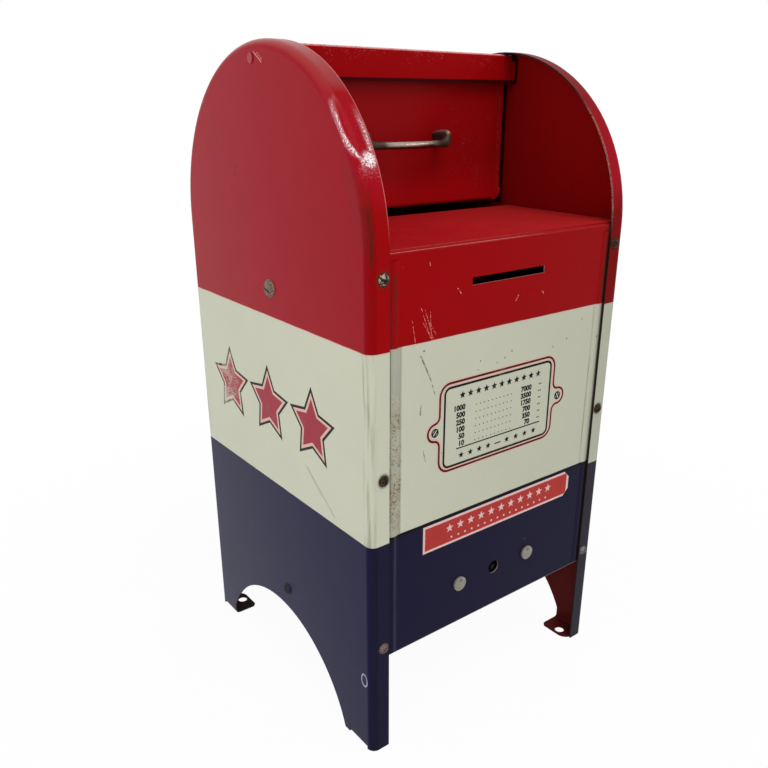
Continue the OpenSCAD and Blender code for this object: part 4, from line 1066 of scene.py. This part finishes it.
class RatePlate(Piece, bpy.types.Operator):
    """The printed plate on the front: its lines, its two ears and their printed screws"""

    bl_idname = "tin_bank.rate_plate"
    bl_label = "Rate plate"

    def build(self, sizes, look):
        line, black = sizes.plate_line, once(ink_black, look)
        pink = ink("ink_pink", look.print_pink, look.cream, 0.2)
        red = ink("ink_dark_red", (0.085, 0.008, 0.011), look.print_pink, 0.3)
        inner = plate(-27.0 * MM, 24.0 * MM, 102.9 * MM, 131.7 * MM, 2.6 * MM, 6)
        for name, outline, width, finish, lift in (("plate_halo", plate_outline(0.45 * line), 2.3 * line, pink, 0.0),
                                                   ("plate_red_line", plate_outline(), line, red, 0.02 * MM),
                                                   ("plate_black_line", inner, line, black, 0.04 * MM)):
            print_front([inset_flat(flat_shape(outline, name), width, "band")], name, finish, lift)
        made = []
        for x, tilt in zip(PLATE_EARS, (50, -62)):
            rim = inset_flat(flat_shape(arc(0, 0, 1.55 * MM, 0, 345, 23), "rim"), 0.46 * MM, "band")
            whole = one_piece([rim, bar(-1.2, 1.2, -0.52, 0.48), bar(-1.2, 1.2, 0.52, 0.48)], "printed_screw")
            whole.rotation_euler, whole.location = (0, 0, math.radians(tilt)), (x, PLATE_MID, 0)
            made.append(settle(whole, "printed_screw"))
        print_front(made, "plate_printed_screws", black, 0.04 * MM)


class RateFigures(Piece, bpy.types.Operator):
    """Two columns of plain figures with dotted leaders, between rows of small stars"""

    bl_idname = "tin_bank.rate_figures"
    bl_label = "Figures on the plate"

    def build(self, sizes, look):
        pitch, top, made = 2.57 * MM, 122.6 * MM, []
        for right_edge, lines in ((-17.6 * MM, ("1000", "500", "250", "100", "50", "10")),
                                  (14.0 * MM, ("7000", "3500", "1750", "700", "350", "70"))):
            start_clean()
            bpy.ops.object.text_add()
            words = bpy.context.object
            words.data.body = "\n".join(lines)
            words.data.size, words.data.align_x = sizes.figure_size, "RIGHT"
            words.data.space_line = pitch / sizes.figure_size
            words.data.resolution_u, words.data.offset = 3, 0.045 * sizes.figure_size
            words.location = (right_edge, top, 0)
            bpy.ops.object.convert(target="MESH")
            made.append(settle(bpy.context.object, "figures"))
        dot = flat_shape(arc(0, 0, 0.22 * MM, 0, 300, 5), "dot")
        for start, step, count, rise, size in ((-12.6, 1.85, 10, 0.4, 1.0), (18.0, 0.8, 2, 1.2, 1.3)):
            made += [copy_of(dot, ((start + i * step) * MM, top + rise * MM - row * pitch, 0), size=size)
                     for row in range(len(lines)) for i in range(count)]
        drop(dot)
        star = flat_shape(star_points(1.35 * MM, 0.46), "small_star")
        made += [copy_of(star, (-19.0 * MM + i * 3.6 * MM, 127.8 * MM, 0)) for i in range(11)]
        made += [copy_of(star, (x * MM, 106.2 * MM, 0), size=0.9)
                 for x in (-18.7, -14.5, -10.3, -6.1, 3.0, 7.5, 12.0, 16.5)]
        drop(star)
        made += [bar(-21.0, 19.4, 109.0, 0.42), bar(-3.0, 0.0, 106.1, 0.42)]
        print_front(made, "plate_figures", once(ink_black, look), 0.02 * MM)


class LabelStars(Piece, bpy.types.Operator):
    """A row of pale stars and a row of dots printed on the red label"""

    bl_idname = "tin_bank.label_stars"
    bl_label = "Label print"

    def build(self, sizes, look):
        low, high = LABEL
        mid, made = (low.x + high.x) / 2, []
        for outline, count, pitch, y in ((star_points(1.75 * MM, 0.42), 11, 5.0 * MM, high.z - 4.0 * MM),
                                         (arc(0, 0, 0.42 * MM, 0, 330, 11), 16, 3.2 * MM, low.z + 2.5 * MM)):
            shape = flat_shape(outline, "label_shape")
            made += [copy_of(shape, (mid + (i - (count - 1) / 2) * pitch, y, 0)) for i in range(count)]
            drop(shape)
        print_front(made, "label_stars", ink("ink_pale", look.label_edge, look.label_red, 0.3),
                    PANEL_Y - low.y, "label_red")


class Enamel(Piece, bpy.types.Operator):
    """Gives every solid of the bank its enamel, tin or steel"""

    bl_idname = "tin_bank.enamel"
    bl_label = "Enamel and metal"

    def build(self, sizes, look):
        wears = {
            side_enamel(look, sizes): ("left_side_panel", "right_side_panel"),
            front_enamel(look, sizes): ("front_panel",),
            roof_enamel(look, sizes): ("rear_panel",),
            door_enamel(look): ("hopper_door",),
            bare_tin(look): ("floor_plate", "trap_door", "lock_case", "trap_catch", "cross_brace", "lock_bolt"),
            dark_steel(look): ("brace_nuts", "bolt_spring", "key_post", "lock_spacers", "lock_nuts",
                               "trap_hinge_wire", "door_washers", "catch_rivets"),
            rod_metal(look): ("door_rod",),
            label_foil(look): ("front_label",),
            once(screw_metal, look): ("front_rim_screws", "rear_rim_screws", "brace_screws", "floor_screws"),
            once(worn_nickel, look): ("door_handle",),
            once(lock_screw_metal, look): ("lock_fixing_screws",),
        }
        for material, nodes in wears.items():
            for node in nodes:
                wear(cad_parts[node], material)


# ---------- floor, light and camera ----------

class Stage(Piece, bpy.types.Operator):
    """A plain pale floor, soft studio light and the camera"""

    bl_idname = "tin_bank.stage"
    bl_label = "Floor, light and camera"

    def seen_white(self, nodes, dimmed):
        """1 as the camera and the gloss see it; dimmed as a light."""
        path = nodes.node("ShaderNodeLightPath", out="Is Camera Ray")
        seen = (path + path.also("Is Glossy Ray") + path.also("Is Transmission Ray")).held()
        return nodes.node("ShaderNodeMapRange", None, {"Value": seen, "To Min": dimmed, "To Max": 1.0})

    def put(self, name, data, place, yaw, down, roll=0.0):
        """Stands a lamp or camera at a place, turned to its left by yaw and tilted down, in degrees."""
        made = bpy.data.objects.new(name, data)
        bpy.context.scene.collection.objects.link(made)
        made.matrix_world = Matrix.Translation(place)
        for angle, axis in ((yaw, "Z"), (90 - down, "X"), (roll, "Z")):
            made.matrix_world @= Matrix.Rotation(math.radians(angle), 4, axis)
        return made

    def lamp(self, name, azimuth, elevation, away, size, watts):
        """A soft lamp that looks at the bank's middle; azimuth 0 is in front, and more is to the right."""
        light = bpy.data.lights.new(name, "AREA")
        light.energy, light.size, light.shape = watts, size, "DISK"
        self.put(name, light, (0, 0, 0.12), azimuth, elevation).matrix_world @= Matrix.Translation((0, 0, away))

    def build(self, sizes, look):
        scene = bpy.context.scene
        scene.view_settings.view_transform = "Standard"
        scene.world = bpy.data.worlds.new("studio")
        studio = Nodes(scene.world)
        back = studio.node("ShaderNodeBackground", None, {
            "Color": (1, 1, 1, 1), "Strength": self.seen_white(studio, 0.55)})
        studio.node("ShaderNodeOutputWorld", None, {"Surface": back})

        bpy.ops.mesh.primitive_plane_add(size=6)
        floor = bpy.context.object
        floor.name = "floor"
        # the paper keeps a soft shadow near the bank, and runs out to plain white
        paper = Finish("pale_floor")
        away = paper.node("ShaderNodeVectorMath", {"operation": "LENGTH"}, {0: paper.where}, "Value")
        share = paper.node("ShaderNodeMapRange", None, {
            "Value": away, "From Min": 130.0, "From Max": 360.0, "To Min": 0.95, "To Max": 1.0})
        matt = paper.node("ShaderNodeBsdfDiffuse", None, {"Color": (0.97, 0.97, 0.97, 1)})
        glow = paper.node("ShaderNodeEmission", None, {"Strength": self.seen_white(paper, 0.0)})
        mixed = paper.node("ShaderNodeMixShader", None, {0: self.seen_white(paper, 0.0) * share, 1: matt, 2: glow})
        paper.node("ShaderNodeOutputMaterial", None, {"Surface": mixed})
        floor.data.materials.append(paper.material)

        self.lamp("front_soft", -12, 57, 1.3, 0.9, 6.8)
        self.lamp("left_soft", -98, 12, 1.3, 0.8, 4.2)
        self.lamp("right_glint", 44, 20, 1.2, 0.14, 0.8)

        camera = self.put("camera", bpy.data.cameras.new("camera"), (-0.18435, -0.23432, 0.21661),
                          -37.964, 20.997, 0.288)
        camera.data.sensor_width, camera.data.lens = 36, 36.78
        camera.data.shift_x, camera.data.shift_y = -0.01435, 0.02654
        camera.data.clip_start, camera.data.clip_end = 0.01, 20
        scene.camera = camera


# ---------- panel and run ----------

PIECES = (DoorHandle, Screws, SideStars, RatePlate, RateFigures, LabelStars, Enamel, Stage)


class TinBankPanel(bpy.types.Panel):
    """Lists the pieces of the tin bank"""

    bl_idname = "VIEW3D_PT_tin_bank"
    bl_label = "Tin Bank"
    bl_space_type = "VIEW_3D"
    bl_region_type = "UI"
    bl_category = "Tin Bank"

    def draw(self, context):
        for piece in PIECES:
            self.layout.operator(piece.bl_idname)
        for group in (context.scene.tin_bank_sizes, context.scene.tin_bank_colours):
            box = self.layout.box()
            for name in group.__annotations__:
                box.prop(group, name)


CLASSES = (TinBankSizes, TinBankColours, *PIECES, TinBankPanel)


def register():
    for each in CLASSES:
        bpy.utils.register_class(each)
    bpy.types.Scene.tin_bank_sizes = bpy.props.PointerProperty(type=TinBankSizes)
    bpy.types.Scene.tin_bank_colours = bpy.props.PointerProperty(type=TinBankColours)


def unregister():
    del bpy.types.Scene.tin_bank_colours
    del bpy.types.Scene.tin_bank_sizes
    for each in reversed(CLASSES):
        bpy.utils.unregister_class(each)


def main():
    register()
    for piece in PIECES:
        group, name = piece.bl_idname.split(".")
        getattr(getattr(bpy.ops, group), name)()


if __name__ == "__main__":
    main()
